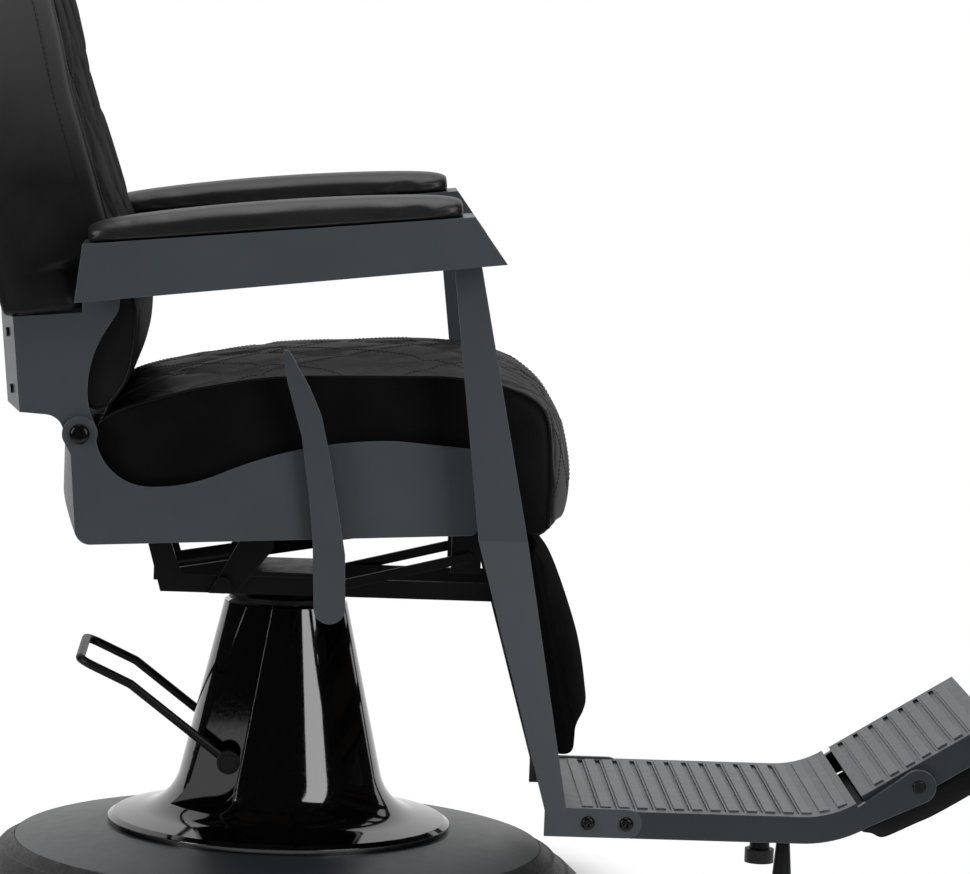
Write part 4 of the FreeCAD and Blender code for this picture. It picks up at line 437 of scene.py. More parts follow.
class SewnPad:
    """A cushion of closed sections side by side, with sewn side panels and diamond quilting on its face.

    edge and centre are a section's upholstered run at the sides and in the middle; rest lies on what carries
    the pad. fullness and arch say how far out the middle's reach and height hold. Stitch lines run along the
    grid's diagonals; quilt is (first row, last row, a row where they cross, cells between them).
    """

    def __init__(self, name, centre, edge, rest, half, columns, spine, quilt=None, bulge=2.0, fullness=2,
                 arch=None):
        self.name, self.half, self.columns = name, half, columns
        self.soft = len(edge) - 1
        self.count = len(edge) + len(rest)
        self.quilt = quilt
        self.points, self.faces = [], []
        self.creased, self.pinned = [], set()
        for j in range(columns + 1):
            across = 2.0 * j / columns - 1
            swell = 1 - abs(across) ** fullness
            lift = 1 - abs(across) ** (arch or fullness)
            y = half * across
            for e, c in zip(edge, centre):
                self.points.append(Vector((e.x + (c.x - e.x) * swell, y, e.y + (c.y - e.y) * lift)))
            self.points += [Vector((p.x, y, p.y)) for p in rest]
        self.skin()
        self.panels = len(self.points)
        for side in (0, columns):
            self.side_panel(side, spine, bulge)
        self.pin()

    def at(self, j, k):
        return j * self.count + k % self.count

    def gaps(self, j, k):
        """Grid steps to the nearest rising and falling stitch line."""
        row, cells = self.quilt[2:]
        middle = self.columns // 2
        steps = [(j - middle + k - row) % cells, (j - middle - k + row) % cells]
        return [min(step, cells - step) for step in steps]

    def quilted(self, k):
        return self.quilt and self.quilt[0] <= k <= self.quilt[1]

    def stitched(self, j, k):
        return self.quilted(k) and 0 in self.gaps(j, k)

    def skin(self):
        for j in range(self.columns):
            for k in range(self.count):
                a, b, c, d = self.at(j, k), self.at(j + 1, k), self.at(j + 1, k + 1), self.at(j, k + 1)
                inside = self.quilted(k) and self.quilted(k + 1)
                if inside and self.gaps(j, k)[1] == 0:
                    self.faces += [(a, b, c), (a, c, d)]
                    self.creased.append((a, c))
                elif inside and self.gaps(j + 1, k)[0] == 0:
                    self.faces += [(a, b, d), (b, c, d)]
                    self.creased.append((b, d))
                else:
                    self.faces.append((a, b, c, d))

    def side_panel(self, j, spine, bulge):
        """Rings from the seam in towards the spine of the section, closed by one face."""
        outward = -1 if j == 0 else 1
        start, end = Vector(spine[0]), Vector(spine[1])
        run = end - start
        previous = [self.at(j, k) for k in range(self.count)]
        seam = [self.points[n].copy() for n in previous]
        rings = 12
        for ring in range(1, rings + 1):
            share = ring / (rings + 1)
            row = []
            for point in seam:
                flat = Vector((point.x, point.z))
                along = max(0.0, min(1.0, (flat - start).dot(run) / run.length_squared))
                target = flat.lerp(start + run * along, share)
                swell = bulge * MM * math.sin(math.pi * min(1.0, share * 1.4) / 2)
                depth = self.half + swell - 1.5 * MM * math.exp(-share * 14)
                row.append(len(self.points))
                self.points.append(Vector((target.x, outward * depth, target.y)))
            for k in range(self.count):
                after = (k + 1) % self.count
                self.faces.append((previous[k], previous[after], row[after], row[k]))
            previous = row
        self.faces.append(tuple(previous))
        self.creased += [(self.at(j, k), self.at(j, k + 1)) for k in range(self.count)]

    def pin(self):
        for j in range(self.columns + 1):
            for k in range(self.count):
                resting = k > self.soft or k == 0
                if resting or j in (0, self.columns) or self.stitched(j, k):
                    self.pinned.add(self.at(j, k))

    def build(self, pressure, spare, limit, channels=(), hide=HIDE):
        """Makes the object and fills it. channels are rows sewn straight across; side panels stay taut."""
        self.piece = new_object(self.name, self.points, self.faces, hide)
        face_outward(self.piece)
        self.pinned |= set(range(self.panels, len(self.points)))
        for k in channels:
            self.pinned |= {self.at(j, k) for j in range(self.columns + 1)}
            self.creased += [(self.at(j, k), self.at(j + 1, k)) for j in range(self.columns)]
        inflate(self.piece, self.pinned, pressure, spare, limit)
        crease_edges(self.piece, self.creased, 0.9)
        subdivide(self.piece)
        return self.piece

    def seam_path(self, j, first):
        """Points along a column of the finished cover, from the first row to the last soft one."""
        return [self.piece.data.vertices[self.at(j, k)].co.copy() for k in range(first, self.soft + 1)]

    def stitch_paths(self):
        """Every quilting line as its points and outward directions."""
        first, last, row, cells = self.quilt
        middle = self.columns // 2
        paths = []
        for slope in (1, -1):
            for start in range(-self.columns - last, self.columns + last):
                if (start - middle + slope * row) % cells:
                    continue
                line = [(start - slope * k, k) for k in range(first, last + 1)]
                line = [(j, k) for j, k in line if 0 <= j <= self.columns]
                if len(line) > 3:
                    chosen = [self.piece.data.vertices[self.at(j, k)] for j, k in line]
                    paths.append(([v.co.copy() for v in chosen], [v.normal.copy() for v in chosen]))
        return paths


def bands(rows, count):
    """Faces between closed rings of count points each, one ring after another."""
    faces = []
    for i in range(rows - 1):
        for k in range(count):
            a, b = i * count + k, i * count + (k + 1) % count
            faces.append((a, b, b + count, a + count))
    return faces


def capped(rows, count):
    """The same faces with the first and last rings closed."""
    last = (rows - 1) * count
    return bands(rows, count) + [tuple(range(count)), tuple(range(last, last + count))]


def tube(path, radius, sides):
    """Points and faces of a closed round cord along a path."""
    points = []
    across = None
    for i, point in enumerate(path):
        ahead = (path[min(i + 1, len(path) - 1)] - path[max(i - 1, 0)]).normalized()
        across = across - ahead * across.dot(ahead) if across else ahead.orthogonal()
        across.normalize()
        third = ahead.cross(across)
        for step in range(sides):
            angle = 2 * math.pi * step / sides
            points.append(point + (across * math.cos(angle) + third * math.sin(angle)) * radius)
    return points, capped(len(path), sides)


def welt(path, radius):
    """A slim covered cord along a seam."""
    return tube([path[0]] + evenly(path, max(4, int(len(path) * 0.8)))[1:-1] + [path[-1]], radius, 10)


def collect(parts):
    """Several point-and-face lists as one."""
    points, faces = [], []
    for more_points, more_faces in parts:
        shift = len(points)
        points += more_points
        faces += [tuple(n + shift for n in face) for face in more_faces]
    return points, faces


STITCH, STITCH_GAP, THREAD_RADIUS, THREAD_LIFT = 4.2 * MM, 1.8 * MM, 0.35 * MM, 0.2 * MM


def stitches(paths):
    """Short thread spindles laid end to end along paths of points and outward directions."""
    parts = []
    for points, normals in paths:
        total = sum((b - a).length for a, b in zip(points, points[1:]))
        count = max(1, int(total / (STITCH + STITCH_GAP)))
        fine = evenly(points, count * 4)
        for n in range(count):
            start, end = fine[n * 4], fine[n * 4 + 3]
            normal = normals[min(len(normals) - 1, int((n + 0.5) / count * len(normals)))]
            middle = (start + end) / 2 + normal * (THREAD_RADIUS + THREAD_LIFT)
            sunk, raised = normal * THREAD_LIFT * 0.2, normal * THREAD_RADIUS * 0.5
            rise, fall = start.lerp(middle, 0.5) + raised, middle.lerp(end, 0.5) + raised
            parts.append(tube([start + sunk, rise, middle, fall, end + sunk], THREAD_RADIUS, 5))
    return collect(parts)


def finish_piece(piece, body, slot, *nodes):
    """Hides the solids the piece stands for and hangs the piece on the body that carries it. slot is not used.
    """
    if nodes:
        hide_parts(*nodes)
    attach(piece, body)


def trim(pad, body, sewing, cords, first):
    """Quilting thread on a pad, and welts along its two side seams from the first row on."""
    piece = new_object(sewing, *stitches(pad.stitch_paths()), THREAD)
    finish_piece(piece, body, "upholstery")
    runs = [welt(pad.seam_path(j, first), WELT_RADIUS) for j in (0, pad.columns)]
    finish_piece(new_object(cords, *collect(runs), HIDE), body, "upholstery")


# Upholstery

SEAT_LOW, SEAT_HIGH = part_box("seat_cushion")
QUILT_CELLS, WELT_RADIUS = 30, 1.7 * MM


def side_axes(angle):
    """The outward and upward directions of a part that leans by angle in the chair's side plane."""
    return Vector((math.cos(angle), math.sin(angle))), Vector((-math.sin(angle), math.cos(angle)))


def leaning(origin, angle):
    """A function that places (out, up), in millimetres, on a part that leans in the chair's side plane."""
    across, upward = side_axes(angle)

    def place(out, up):
        return origin + across * out * MM + upward * up * MM
    return place


FLIP_RISE = math.radians(32)
lean = leaning(Vector((-0.200, 0.759)), math.radians(17.3))
flip_at = leaning(Vector((0.702, 0.157)), FLIP_RISE)


def seat():
    """Seat cushion: quilted top panel that rolls over the front edge, plain side panels."""
    front, rear, lip = SEAT_HIGH.x - 32.7 * MM, SEAT_LOW.x + 12.7 * MM, SEAT_LOW.z
    pan, under = SEAT_LOW.z + 18.5 * MM, 252 * MM
    half_rows, last_quilted = 55, 104
    side_rear = [(rear - 0.017, 0.534), (rear + 0.007, 0.549), (rear + 0.062, 0.567), (rear + 0.098, 0.576),
                 (rear + 0.176, 0.589)]
    side_front = [(front - 0.167, 0.594), (front - 0.108, 0.5945), (front - 0.054, 0.586),
                  (front - 0.018, 0.570), (front - 0.005, 0.544), (front - 0.001, 0.490),
                  (front - 0.002, lip + 0.001)]
    edge = smooth_run(side_rear + side_front, [(5, half_rows), (11, half_rows)])
    crown_rear = [(rear - 0.008, 0.551), (rear + 0.006, 0.565), (rear + 0.032, 0.5735), (rear + 0.083, 0.585),
                  (rear + 0.176, 0.599)]
    crown_front = [(front - 0.167, 0.611), (front - 0.097, 0.6105), (front - 0.052, 0.602),
                   (front - 0.017, 0.583), (front + 0.012, 0.543), (front + 0.024, 0.499),
                   (front + 0.027, 0.465), (front + 0.024, lip + 0.001)]
    centre = smooth_run(crown_rear + crown_front, [(5, half_rows), (12, half_rows)])
    rest = straight_run([edge[-1], (front - 0.008, lip - 0.010), (under, lip - 0.006), (under, pan),
                         (rear - 0.008, pan), (rear - 0.020, pan + 0.04), (rear - 0.023, pan + 0.078),
                         edge[0]], 40)
    pad = SewnPad("seat_cover", centre, edge, rest, half=213 * MM, columns=80,
                  spine=[(-0.14, 0.510), (0.235, 0.515)], quilt=(0, last_quilted, half_rows, QUILT_CELLS),
                  bulge=2.5)
    piece = pad.build(pressure=5.0, spare=0.03, limit=3.6 * MM)
    finish_piece(piece, "seat", "upholstery", "seat_cushion")
    trim(pad, "seat", "seat_stitching", "seat_welts", 0)


def back():
    """Back cushion: quilted panel over a plain lumbar roll."""
    board_low, board_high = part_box("lumbar_board")
    x, foot, top = board_high.x, board_low.z, board_high.z
    rows, crossing, last_quilted = [(4, 30), (6, 30), (15, 40)], 30, 72
    edge_panel = [lean(-20, 317), lean(-9, 304), lean(-1, 235), lean(-3, 190), lean(-6, 129), lean(-6, 0),
                  lean(-5, -31), lean(-3, -80)]
    edge_roll = [(x + 0.052, top + 0.023), (x + 0.053, top + 0.003), (x + 0.0516, top - 0.019),
                 (x + 0.049, top - 0.040), (x + 0.0425, top - 0.060), (x + 0.030, foot),
                 (x + 0.018, foot - 0.010), (x + 0.006, foot - 0.008)]
    edge = smooth_run(edge_panel + edge_roll, rows)
    crown_panel = [lean(-20, 318), lean(-7, 305), lean(-1, 235), lean(-1, 190), lean(-2.5, 129), lean(1, 16),
                   lean(4, -31), lean(8, -80)]
    crown_roll = [(x + 0.056, top + 0.023), (x + 0.055, top + 0.003), (x + 0.053, top - 0.019),
                  (x + 0.049, top - 0.038), (x + 0.0425, top - 0.056), (x + 0.031, foot + 0.002),
                  (x + 0.018, foot - 0.008), (x + 0.006, foot - 0.008)]
    centre = smooth_run(crown_panel + crown_roll, rows)
    rest = straight_run([edge[-1], (x + 0.0003, foot), (x + 0.0003, top - 0.004), lean(-21.7, -90),
                         lean(-21.7, 314), edge[0]], 40)
    pad = SewnPad("back_cover_front", centre, edge, rest, half=216 * MM, columns=80,
                  spine=[lean(-14, 280), lean(-14, -60)], quilt=(1, last_quilted, crossing, QUILT_CELLS),
                  bulge=0.5, fullness=5)
    piece = pad.build(pressure=5.0, spare=0.03, limit=5.5 * MM, channels=(last_quilted,), hide=FRONT_HIDE)
    finish_piece(piece, "back", "upholstery", "back_cushion")
    trim(pad, "back", "back_stitching", "lumbar_welts", last_quilted - 2)


def between_rows(rows, at):
    """The value at a height, from a list of (height, value) rows."""
    for (low, first), (high, second) in zip(rows, rows[1:]):
        if at <= high:
            return first + (second - first) * (at - low) / (high - low)
    return rows[-1][1]


SHELL_SEAM = [(-95, -6), (0, -4), (140, -4), (190, 0), (235, 2), (290, -1), (330, -8)]
SHELL_REAR = [(-110, 226), (-122, 222), (-129, 214), (-132, 203), (-133.5, 150), (-135, 75), (-135.5, 0)]
SHELL_FRONT = [(-22, 0), (-22, 120), (-22, 200)]
SHELL_FOOT_FLANK = [(-24, 206), (-27, 208.5), (-33, 210), (-41, 211), (-50, 212), (-58, 213.5), (-62.5, 218),
                    (-67, 224.5), (-90, 226.5)]
SHELL_FOOT, SHELL_STEP, SHELL_FOOT_DEPTH = -89, -30, 12


def clamp(value, low, high):
    return max(low, min(high, value))


def shell_outline(up):
    """Half of the cover's outline at a height: (out, side) points from the front's middle to the rear's."""
    if up <= -40:
        return SHELL_FRONT + SHELL_FOOT_FLANK + SHELL_REAR
    seam = between_rows(SHELL_SEAM, up)
    flank = [(seam - 9, 210), (seam - 3, 214.5), (seam, 218.5), (seam - 2.5, 222.5), (seam - 9, 225),
             (-24, 226.3), (-45, 227.4), (-66, 228), (-90, 227.5)]
    return SHELL_FRONT + flank + SHELL_REAR


def shell_ring(up, inset):
    """One closed ring of the cover, drawn in by inset all round. The foot follows the bracket under it."""
    points = []
    half = shell_outline(up)
    for out, side in half + [(out, -side) for out, side in half[-2:0:-1]]:
        height = up
        if up <= SHELL_STEP:
            foot = SHELL_FOOT + 11 * max(0.0, -out - 62) / 70
            height = SHELL_STEP + (up - SHELL_STEP) * (foot - SHELL_STEP) / (SHELL_FOOT - SHELL_STEP)
        out -= SHELL_FOOT_DEPTH * clamp((120 - up) / 120, 0.0, 1.0) * max(0.0, (-out - 90) / 45)
        out -= inset * clamp((out + 75) / 50, -1.0, 1.0)
        side -= inset * clamp(side / 190, -1.0, 1.0)
        flat = lean(out, height)
        points.append(Vector((flat.x, side * MM, flat.y)))
    return points


def back_shell():
    """Upholstered sides, top and rear of the back with a raised seam round the quilted front."""
    rows = [(-89, 12), (-88.6, 6), (-87, 2), (-83, 0.4)]
    rows += [(up, 0) for up in (-76, -66, -56, -47, -41, -37)]
    rows += [(up, 0) for up in range(-30, 301, 6)]
    rows += [(306, 0.6), (312, 2), (317, 4.5), (321, 8.5), (324, 14), (325.5, 22)]
    rings = [shell_ring(up, inset) for up, inset in rows]
    count = len(rings[0])
    faces = [tuple(range(count)), tuple(range((len(rings) - 1) * count, len(rings) * count))]
    faces += bands(len(rings), count)
    # The shell takes the hide with painted light: lighter than the other hides and lighter still towards the
    # top.
    piece = new_object("back_cover_shell", [point for ring in rings for point in ring], faces, BACK_HIDE_PAINTED_LIGHT)
    face_outward(piece)
    flank = range(9, 13)
    loose = {k for k in range(count) if k in flank or count - k in flank}
    firm = {i * count + k for i in range(len(rings)) for k in range(count) if k not in loose}
    inflate(piece, firm, pressure=3.0, spare=0.01, limit=2.5 * MM)
    subdivide(piece)
    finish_piece(piece, "back", "upholstery", "back_body")
    lines = []
    for side in (-1, 1):
        path = []
        for up in range(-30, 296, 5):
            flat = lean(between_rows(SHELL_SEAM, up) - 22, up)
            path.append(Vector((flat.x, side * 226.6 * MM, flat.y)))
        lines.append((path, [Vector((0, side, 0))] * len(path)))
    finish_piece(new_object("back_side_stitching", *stitches(lines), THREAD), "back", "upholstery")


def moulded_pad(name, matrix, length, width, height_at):
    """A one-piece pad with rounded ends, flat below. height_at gives its crown's height along it."""
    cells, around, plan_power = 64, 44, 7
    upper_power, lower_power, seam_level = 2.7, 6.0, 0.4
    points, flat = [], set()
    for i in range(cells + 1):
        turn = -math.cos(math.pi * i / cells)
        taper = max(0.0, 1 - abs(turn) ** plan_power) ** (1 / plan_power)
        taper = max(taper, 0.03)
        high = height_at((turn + 1) / 2) * max(taper, 0.25) ** 0.5
        for k in range(around):
            angle = 2 * math.pi * k / around
            side, up = math.cos(angle), math.sin(angle)
            power = upper_power if up > 0 else lower_power
            bend = (abs(side) ** power + abs(up) ** power) ** (-1 / power)
            level = up * bend
            z = high * (seam_level + (1 - seam_level if level > 0 else seam_level) * level)
            points.append(matrix @ Vector(((turn + 1) / 2 * length, side * bend * width / 2 * taper, z)))
            if level < -0.6:
                flat.add(len(points) - 1)
    piece = new_object(name, points, capped(cells + 1, around), ARM_SKIN)
    face_outward(piece)
    return piece, flat


ARM_REAR, ARM_SLOPE = Vector((-0.226, 0.731)), math.atan2(43, 411)
ARM_PAD_START, ARM_PAD_LENGTH, ARM_PAD_WIDTH = (0.0065, 0, 0.0002), 0.3945, 0.084


def arm_crown(share):
    """Height of the arm pad's crown along it, from 0 at its rear end to 1 at its front end."""
    return (17.5 + 11 * math.sin(math.pi * (0.07 + 0.85 * share)) ** 0.8) * MM


def arm_pads():
    """Moulded pads that lie on the sloping arms."""
    for name in ("right", "left"):
        low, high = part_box("arm_pad_" + name)
        middle = (low.y + high.y) / 2
        arm = Matrix.Translation((ARM_REAR.x, middle, ARM_REAR.y)) @ Matrix.Rotation(-ARM_SLOPE, 4, "Y")
        start = arm @ Matrix.Translation(ARM_PAD_START)
        piece, flat = moulded_pad("arm_pad_cover_" + name, start, ARM_PAD_LENGTH, ARM_PAD_WIDTH, arm_crown)
        inflate(piece, flat, pressure=3.0, spare=0.01, limit=1.5 * MM)
        subdivide(piece)
        finish_piece(piece, name + "_arm", "upholstery", "arm_pad_" + name)


CALF_TILT, CALF_ORIGIN = math.radians(12.2), Vector((0.299, 0.184))


def calf_at(out, up):
    """A point of the leaning calf pad in the chair's side plane; out and up are in millimetres."""
    out, up = out * MM, up * MM
    cosine, sine = math.cos(CALF_TILT), math.sin(CALF_TILT)
    return CALF_ORIGIN + Vector((out * cosine - up * sine, out * sine + up * cosine))


def calf():
    """Calf pad: a crowned face with an arched lower end between two longer side panels."""
    side = [(2, -9), (14, -12), (22, -7), (24.5, 8), (24.5, 30), (24, 109), (22, 204), (14, 218)]
    crown = [(2, 12), (22, 11), (37, 13), (45, 20), (48.5, 36), (50, 105), (36, 196), (18, 219)]
    edge, centre = [smooth_run([calf_at(*point) for point in run], [(7, 48)]) for run in (side, crown)]
    rest = straight_run([edge[-1], (0.2645, 0.397), (0.2655, 0.347), calf_at(0.4, 134), edge[0]], 26)
    pad = SewnPad("calf_cover", centre, edge, rest, half=134 * MM, columns=52,
                  spine=[calf_at(12, 190), calf_at(12, 12)], bulge=3.0, arch=10)
    piece = pad.build(pressure=4.0, spare=0.01, limit=2 * MM, hide=CALF_HIDE)
    finish_piece(piece, "footrest", "upholstery", "calf_pad")


def headrest():
    """Head pad with a crowned face between two sewn ends."""
    rear, front, low, high = -58, 10, 353, 503
    middle = (low + high) / 2
    side = [(rear, high - 12), (rear + 20, high), (front - 20, high - 4), (front, high - 30), (front, middle),
            (front, low + 30), (front - 20, low + 4), (rear + 20, low), (rear, low + 12)]
    swell = {high - 30: 7, middle: 14, low + 30: 7}
    crown = [(out + swell.get(up, 0), up) for out, up in side]
    edge, centre = [smooth_run([lean(*point) for point in run], [(8, 60)]) for run in (side, crown)]
    rest = straight_run([edge[-1], edge[0]], 24)
    pad = SewnPad("headrest_cover", centre, edge, rest, half=124 * MM, columns=48,
                  spine=[lean(-24, 470), lean(-24, 386)], bulge=4.0)
    piece = pad.build(pressure=4.0, spare=0.01, limit=4 * MM)
    finish_piece(piece, "headrest", "upholstery", "headrest_pad")


def flip_cushion():
    """Black foot pad under the flip plate; its rear lip closes the slot behind the plate."""
    side = [(-80, -11.6), (-79, -15), (-70, -22), (-66, -29), (-58, -33), (-25, -36.5), (0, -39), (45, -39.5),
            (88, -38.5), (99, -31), (99, -12)]
    crown = [(out, up - 2 if up < -26 else up) for out, up in side]
    edge, centre = [smooth_run([flip_at(*point) for point in run], [(10, 48)]) for run in (side, crown)]
    rest = straight_run([edge[-1], edge[0]], 24)
    pad = SewnPad("flip_pad_cover", centre, edge, rest, half=156 * MM, columns=52,
                  spine=[flip_at(-50, -20), flip_at(85, -24)], bulge=1.0)
    piece = pad.build(pressure=2.0, spare=0.005, limit=1.0 * MM)
    finish_piece(piece, "flip", "upholstery", "flip_pad")


# Hardware

def turned(profile, axis_point, direction, steps=32):
    """Points and faces of a profile of (radius, height) turned about a line along the chair's width."""
    points = []
    for radius, height in profile:
        for n in range(steps):
            angle = 2 * math.pi * n / steps
            spot = Vector((radius * math.cos(angle), direction * height, radius * math.sin(angle)))
            points.append(axis_point + spot * MM)
    return points, capped(len(profile), steps)


def bolt_heads(name, body, profile, places, *nodes):
    """Domed heads with the given profile, one at each place, facing out from the chair's middle."""
    parts = [turned(profile, place, math.copysign(1, place.y)) for place in places]
    piece = new_object(name, *collect(parts), BOLT_STEEL)
    face_outward(piece)
    finish_piece(piece, body, "black_metal", *nodes)


def pivot_buttons():
    """Bolts on which the back hinges on the tub."""
    low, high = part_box("pivot_bolts")
    middle = (low + high) / 2
    profile = [(5.9, -11), (5.9, -0.2), (10.8, 0.05), (10.8, 2.2), (10.0, 4.0), (7.9, 5.4), (4.6, 6.2),
               (0.6, 6.4)]
    places = [Vector((middle.x, side * (high.y - 6 * MM), middle.z)) for side in (-1, 1)]
    bolt_heads("pivot_buttons", "seat", profile, places, "pivot_bolts")


def footrest_buttons():
    """Hollow-headed bolts through the tabs at the footrest's rear end."""
    low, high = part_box("footrest_bolts")
    radius = (high.z - low.z) / 2
    profile = [(3.4, -9), (3.4, 0.05), (7.6, 0.05), (7.6, 1.2), (7.1, 3.0), (5.6, 4.4), (4.0, 4.9),
               (3.4, 4.7), (3.3, 2.6), (0.4, 2.5)]
    places = []
    for side in (-1, 1):
        for x in (low.x + radius, high.x - radius):
            places.append(Vector((x, side * (high.y - 5 * MM), low.z + radius)))
    bolt_heads("footrest_buttons", "footrest", profile, places, "footrest_bolts")


def hinge_buttons():
    """Low caps over the ends of the flip plate's pins."""
    pin, reach = flip_at(0, 0), 171 * MM
    profile = [(7.4, 0.05), (7.4, 0.9), (6.8, 1.8), (5.0, 2.5), (0.4, 2.8)]
    places = [Vector((pin.x, side * reach, pin.y)) for side in (-1, 1)]
    bolt_heads("hinge_buttons", "footrest", profile, places)


DECK_FIRST, DECK_BEND, DECK_TURN = 0.3248, (0.575, 0.110, 0.120), math.radians(31)
BAR_PITCH, BAR_WIDTH, BAR_HEIGHT, BAR_HALF = 0.0202, 11.5 * MM, 1.7 * MM, 0.153
FLIP_BARS, FLIP_REAR, FLIP_TOP = 7, -50, 21


def slat(place, along, normal, half):
    """Points and faces of one raised tread bar across the footrest, with eased upper edges."""
    ease, sunk = 0.7 * MM, -0.4 * MM
    section = [(0, sunk), (0, BAR_HEIGHT - ease), (ease, BAR_HEIGHT), (BAR_WIDTH - ease, BAR_HEIGHT),
               (BAR_WIDTH, BAR_HEIGHT - ease), (BAR_WIDTH, sunk)]
    points = []
    for side in (-1, 1):
        for out, up in section:
            reach = half - (ease if up == BAR_HEIGHT else 0)
            flat = place + along * out + normal * up
            points.append(Vector((flat.x, side * reach, flat.y)))
    return points, capped(2, len(section))


def tread_piece(name, body, bars):
    # The bars take the lighter tread paint: painted light on their tops.
    piece = new_object(name, *collect(bars), TREAD_LIT_PAINT, smooth=False)
    face_outward(piece)
    finish_piece(piece, body, "footrest_metal")


def deck_treads():
    """Raised bars along the footrest's flat part and up its bend; none lies across the start of the bend."""
    bend, radius, top = DECK_BEND
    bars = []
    start = DECK_FIRST + BAR_PITCH - BAR_WIDTH
    while start + BAR_WIDTH < bend + radius * DECK_TURN:
        if start + BAR_WIDTH < bend:
            bars.append(slat(Vector((start, top)), *side_axes(0), BAR_HALF))
        elif start > bend:
            along, normal = side_axes((start - bend) / radius)
            bars.append(slat(Vector((bend, top + radius)) - normal * radius, along, normal, BAR_HALF))
        start += BAR_PITCH
    tread_piece("footrest_treads", "footrest", bars)


def flip_treads():
    """Raised bars on the flip plate, a little shorter than the deck's."""
    bars = []
    for step in range(1, FLIP_BARS + 1):
        out = FLIP_REAR + (BAR_PITCH * step - BAR_WIDTH) / MM
        bars.append(slat(flip_at(out, FLIP_TOP), *side_axes(FLIP_RISE), BAR_HALF - 6 * MM))
    tread_piece("flip_treads", "flip", bars)


# Stage, light and camera

def plain_material(name):
    """A material whose nodes are all still to be made."""
    material = bpy.data.materials.new(name)
    material.use_nodes = True
    material.node_tree.nodes.clear()
    return material, material.node_tree


def add_node(tree, kind, *sources, **settings):
    """A new node. sources feed its first inputs in order; settings are its own values."""
    node = tree.nodes.new(kind)
    for key, value in settings.items():
        setattr(node, key, value)
    for source, socket in zip(sources, node.inputs):
        tree.links.new(source, socket)
    return node


def seen_directly(tree):
    """1 for rays that show the background: camera, glossy and transmission rays."""
    path = tree.nodes.new("ShaderNodeLightPath")
    total = path.outputs["Is Camera Ray"]
    for name in ("Is Glossy Ray", "Is Transmission Ray"):
        pick = add_node(tree, "ShaderNodeMath", total, path.outputs[name], operation="MAXIMUM")
        total = pick.outputs["Value"]
    return total


FLOOR_RADIUS, FLOOR_GREY, FLOOR_FADE = 9.0, 0.93, (0.25, 0.44)


def white_floor():
    """A pale floor that keeps the chair's shadow and turns plain white further out."""
    steps = 64
    angles = [2 * math.pi * n / steps for n in range(steps)]
    ring = [Vector((FLOOR_RADIUS * math.cos(angle), FLOOR_RADIUS * math.sin(angle), 0)) for angle in angles]
    material, tree = plain_material("studio_floor")
    diffuse = tree.nodes.new("ShaderNodeBsdfDiffuse")
    diffuse.inputs["Color"].default_value = (FLOOR_GREY, FLOOR_GREY, FLOOR_GREY, 1)
    glow = tree.nodes.new("ShaderNodeEmission")
    place = tree.nodes.new("ShaderNodeNewGeometry").outputs["Position"]
    length = add_node(tree, "ShaderNodeVectorMath", place, operation="LENGTH").outputs["Value"]
    far = add_node(tree, "ShaderNodeMapRange", length, interpolation_type="SMOOTHSTEP")
    far.inputs["From Min"].default_value, far.inputs["From Max"].default_value = FLOOR_FADE
    both = add_node(tree, "ShaderNodeMath", far.outputs["Result"], seen_directly(tree), operation="MULTIPLY")
    mix = add_node(tree, "ShaderNodeMixShader", both.outputs["Value"], diffuse.outputs[0], glow.outputs[0])
    add_node(tree, "ShaderNodeOutputMaterial", mix.outputs[0])
    new_object("floor", ring, [tuple(range(steps))], material, smooth=False)


ROOM_PROFILE = [(1.1, 0.012), (7.5, 0.012), (7.5, 5.5), (5.0, 7.3), (2.4, 8.2)]
ROOM_HALF_TURN, ROOM_GREY = math.radians(132), 0.02


def dark_room():
    """The unlit floor, wall and ceiling behind the camera: gloss shows them, nothing else does."""
    steps, count = 40, len(ROOM_PROFILE)
    points, faces = [], []
    for n in range(steps + 1):
        angle = -math.pi / 2 + ROOM_HALF_TURN * (2 * n / steps - 1)
        ahead = Vector((math.cos(angle), math.sin(angle), 0))
        points += [ahead * radius + Vector((0, 0, z)) for radius, z in ROOM_PROFILE]
    for n in range(steps):
        for i in range(count - 1):
            a = n * count + i
            faces.append((a, a + count, a + count + 1, a + 1))
    material, tree = plain_material("studio_dark_wall")
    glow = tree.nodes.new("ShaderNodeEmission")
    glow.inputs["Color"].default_value = (ROOM_GREY, ROOM_GREY, ROOM_GREY, 1)
    add_node(tree, "ShaderNodeOutputMaterial", glow.outputs[0])
    wall = new_object("studio_wall", points, faces, material)
    for ray in ("camera", "diffuse", "shadow", "transmission"):
        setattr(wall, "visible_" + ray, False)


LAMP_DISTANCE, LAMP_LEVEL, LAMP_HEIGHT, LAMP_AIM = 2.6, 1.45, 1.7, (0, 0, 0.75)
WORLD_FILL, WORLD_SEEN = 0.28, 1.0


def softbox(name, place, aim, width, height, radiance):
    """A rectangular lamp; its power follows from how bright its face is."""
    data = bpy.data.lights.new(name, "AREA")
    data.shape = "RECTANGLE"
    data.size, data.size_y = width, height
    data.energy = radiance * math.pi * width * height
    lamp = bpy.data.objects.new(name, data)
    SCENE.collection.objects.link(lamp)
    lamp.location = place
    lamp.rotation_euler = (Vector(aim) - Vector(place)).to_track_quat("-Z", "Y").to_euler()


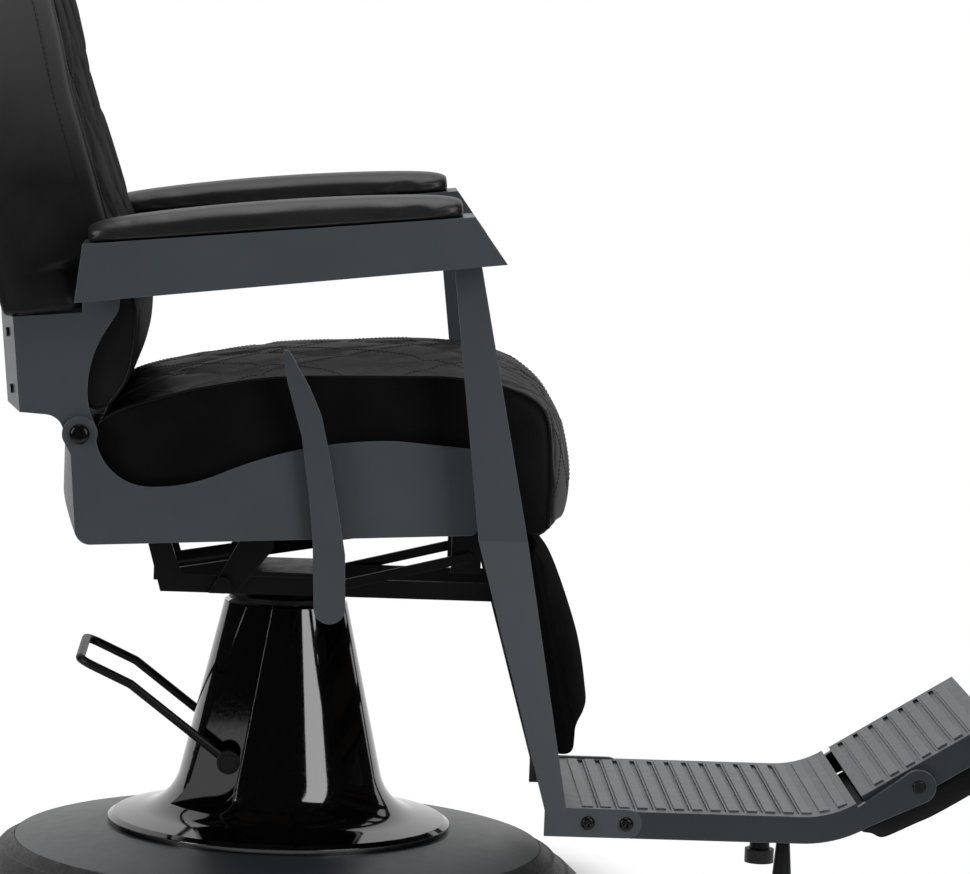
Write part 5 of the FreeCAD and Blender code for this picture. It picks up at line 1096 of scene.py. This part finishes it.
def lights():
    """Two upright softboxes on the chair's right, one overhead, and a white surround that adds a little."""
    for name, azimuth, width, radiance in (("softbox_front", 43, 1.2, 6.0), ("softbox_rear", -62, 0.6, 11.5)):
        angle = math.radians(azimuth)
        place = (LAMP_DISTANCE * math.sin(angle), -LAMP_DISTANCE * math.cos(angle), LAMP_LEVEL)
        softbox(name, place, LAMP_AIM, width, LAMP_HEIGHT, radiance)
    softbox("softbox_top", (0.1, 0.3, 3.2), (0.1, 0.1, 0.5), 2.2, 2.2, 2.6)
    world = bpy.data.worlds.new("studio")
    SCENE.world = world
    world.use_nodes = True
    tree = world.node_tree
    background = tree.nodes["Background"]
    background.inputs["Color"].default_value = (1, 1, 1, 1)
    level = add_node(tree, "ShaderNodeMapRange", seen_directly(tree))
    level.inputs["To Min"].default_value, level.inputs["To Max"].default_value = WORLD_FILL, WORLD_SEEN
    tree.links.new(level.outputs["Result"], background.inputs["Strength"])


def camera():
    """The photograph's viewpoint: a long lens, a little above the seat, square to the chair's right side."""
    place = Vector((-0.00573, -5.1763, 1.0379))
    ahead = Vector((0.0428, 0.9939, -0.1013)).normalized()
    roll = math.radians(2.174)
    right = ahead.cross(Vector((0, 0, 1))).normalized()
    up = right.cross(ahead)
    turned_right = right * math.cos(roll) + up * math.sin(roll)
    turned_up = up * math.cos(roll) - right * math.sin(roll)
    data = bpy.data.cameras.new("camera")
    data.sensor_fit = "HORIZONTAL"
    data.sensor_width = 36
    data.lens = 171.95
    data.clip_end = 100
    view = bpy.data.objects.new("camera", data)
    SCENE.collection.objects.link(view)
    axes = Matrix((turned_right, turned_up, -ahead)).transposed().to_4x4()
    view.matrix_world = Matrix.Translation(place) @ axes
    SCENE.camera = view


dress_nodes()
seat()
back()
back_shell()
arm_pads()
calf()
headrest()
flip_cushion()
pivot_buttons()
footrest_buttons()
hinge_buttons()
deck_treads()
flip_treads()
white_floor()
dark_room()
lights()
camera()
SCENE.view_settings.view_transform = "Standard"

bpy.context.view_layer.update()
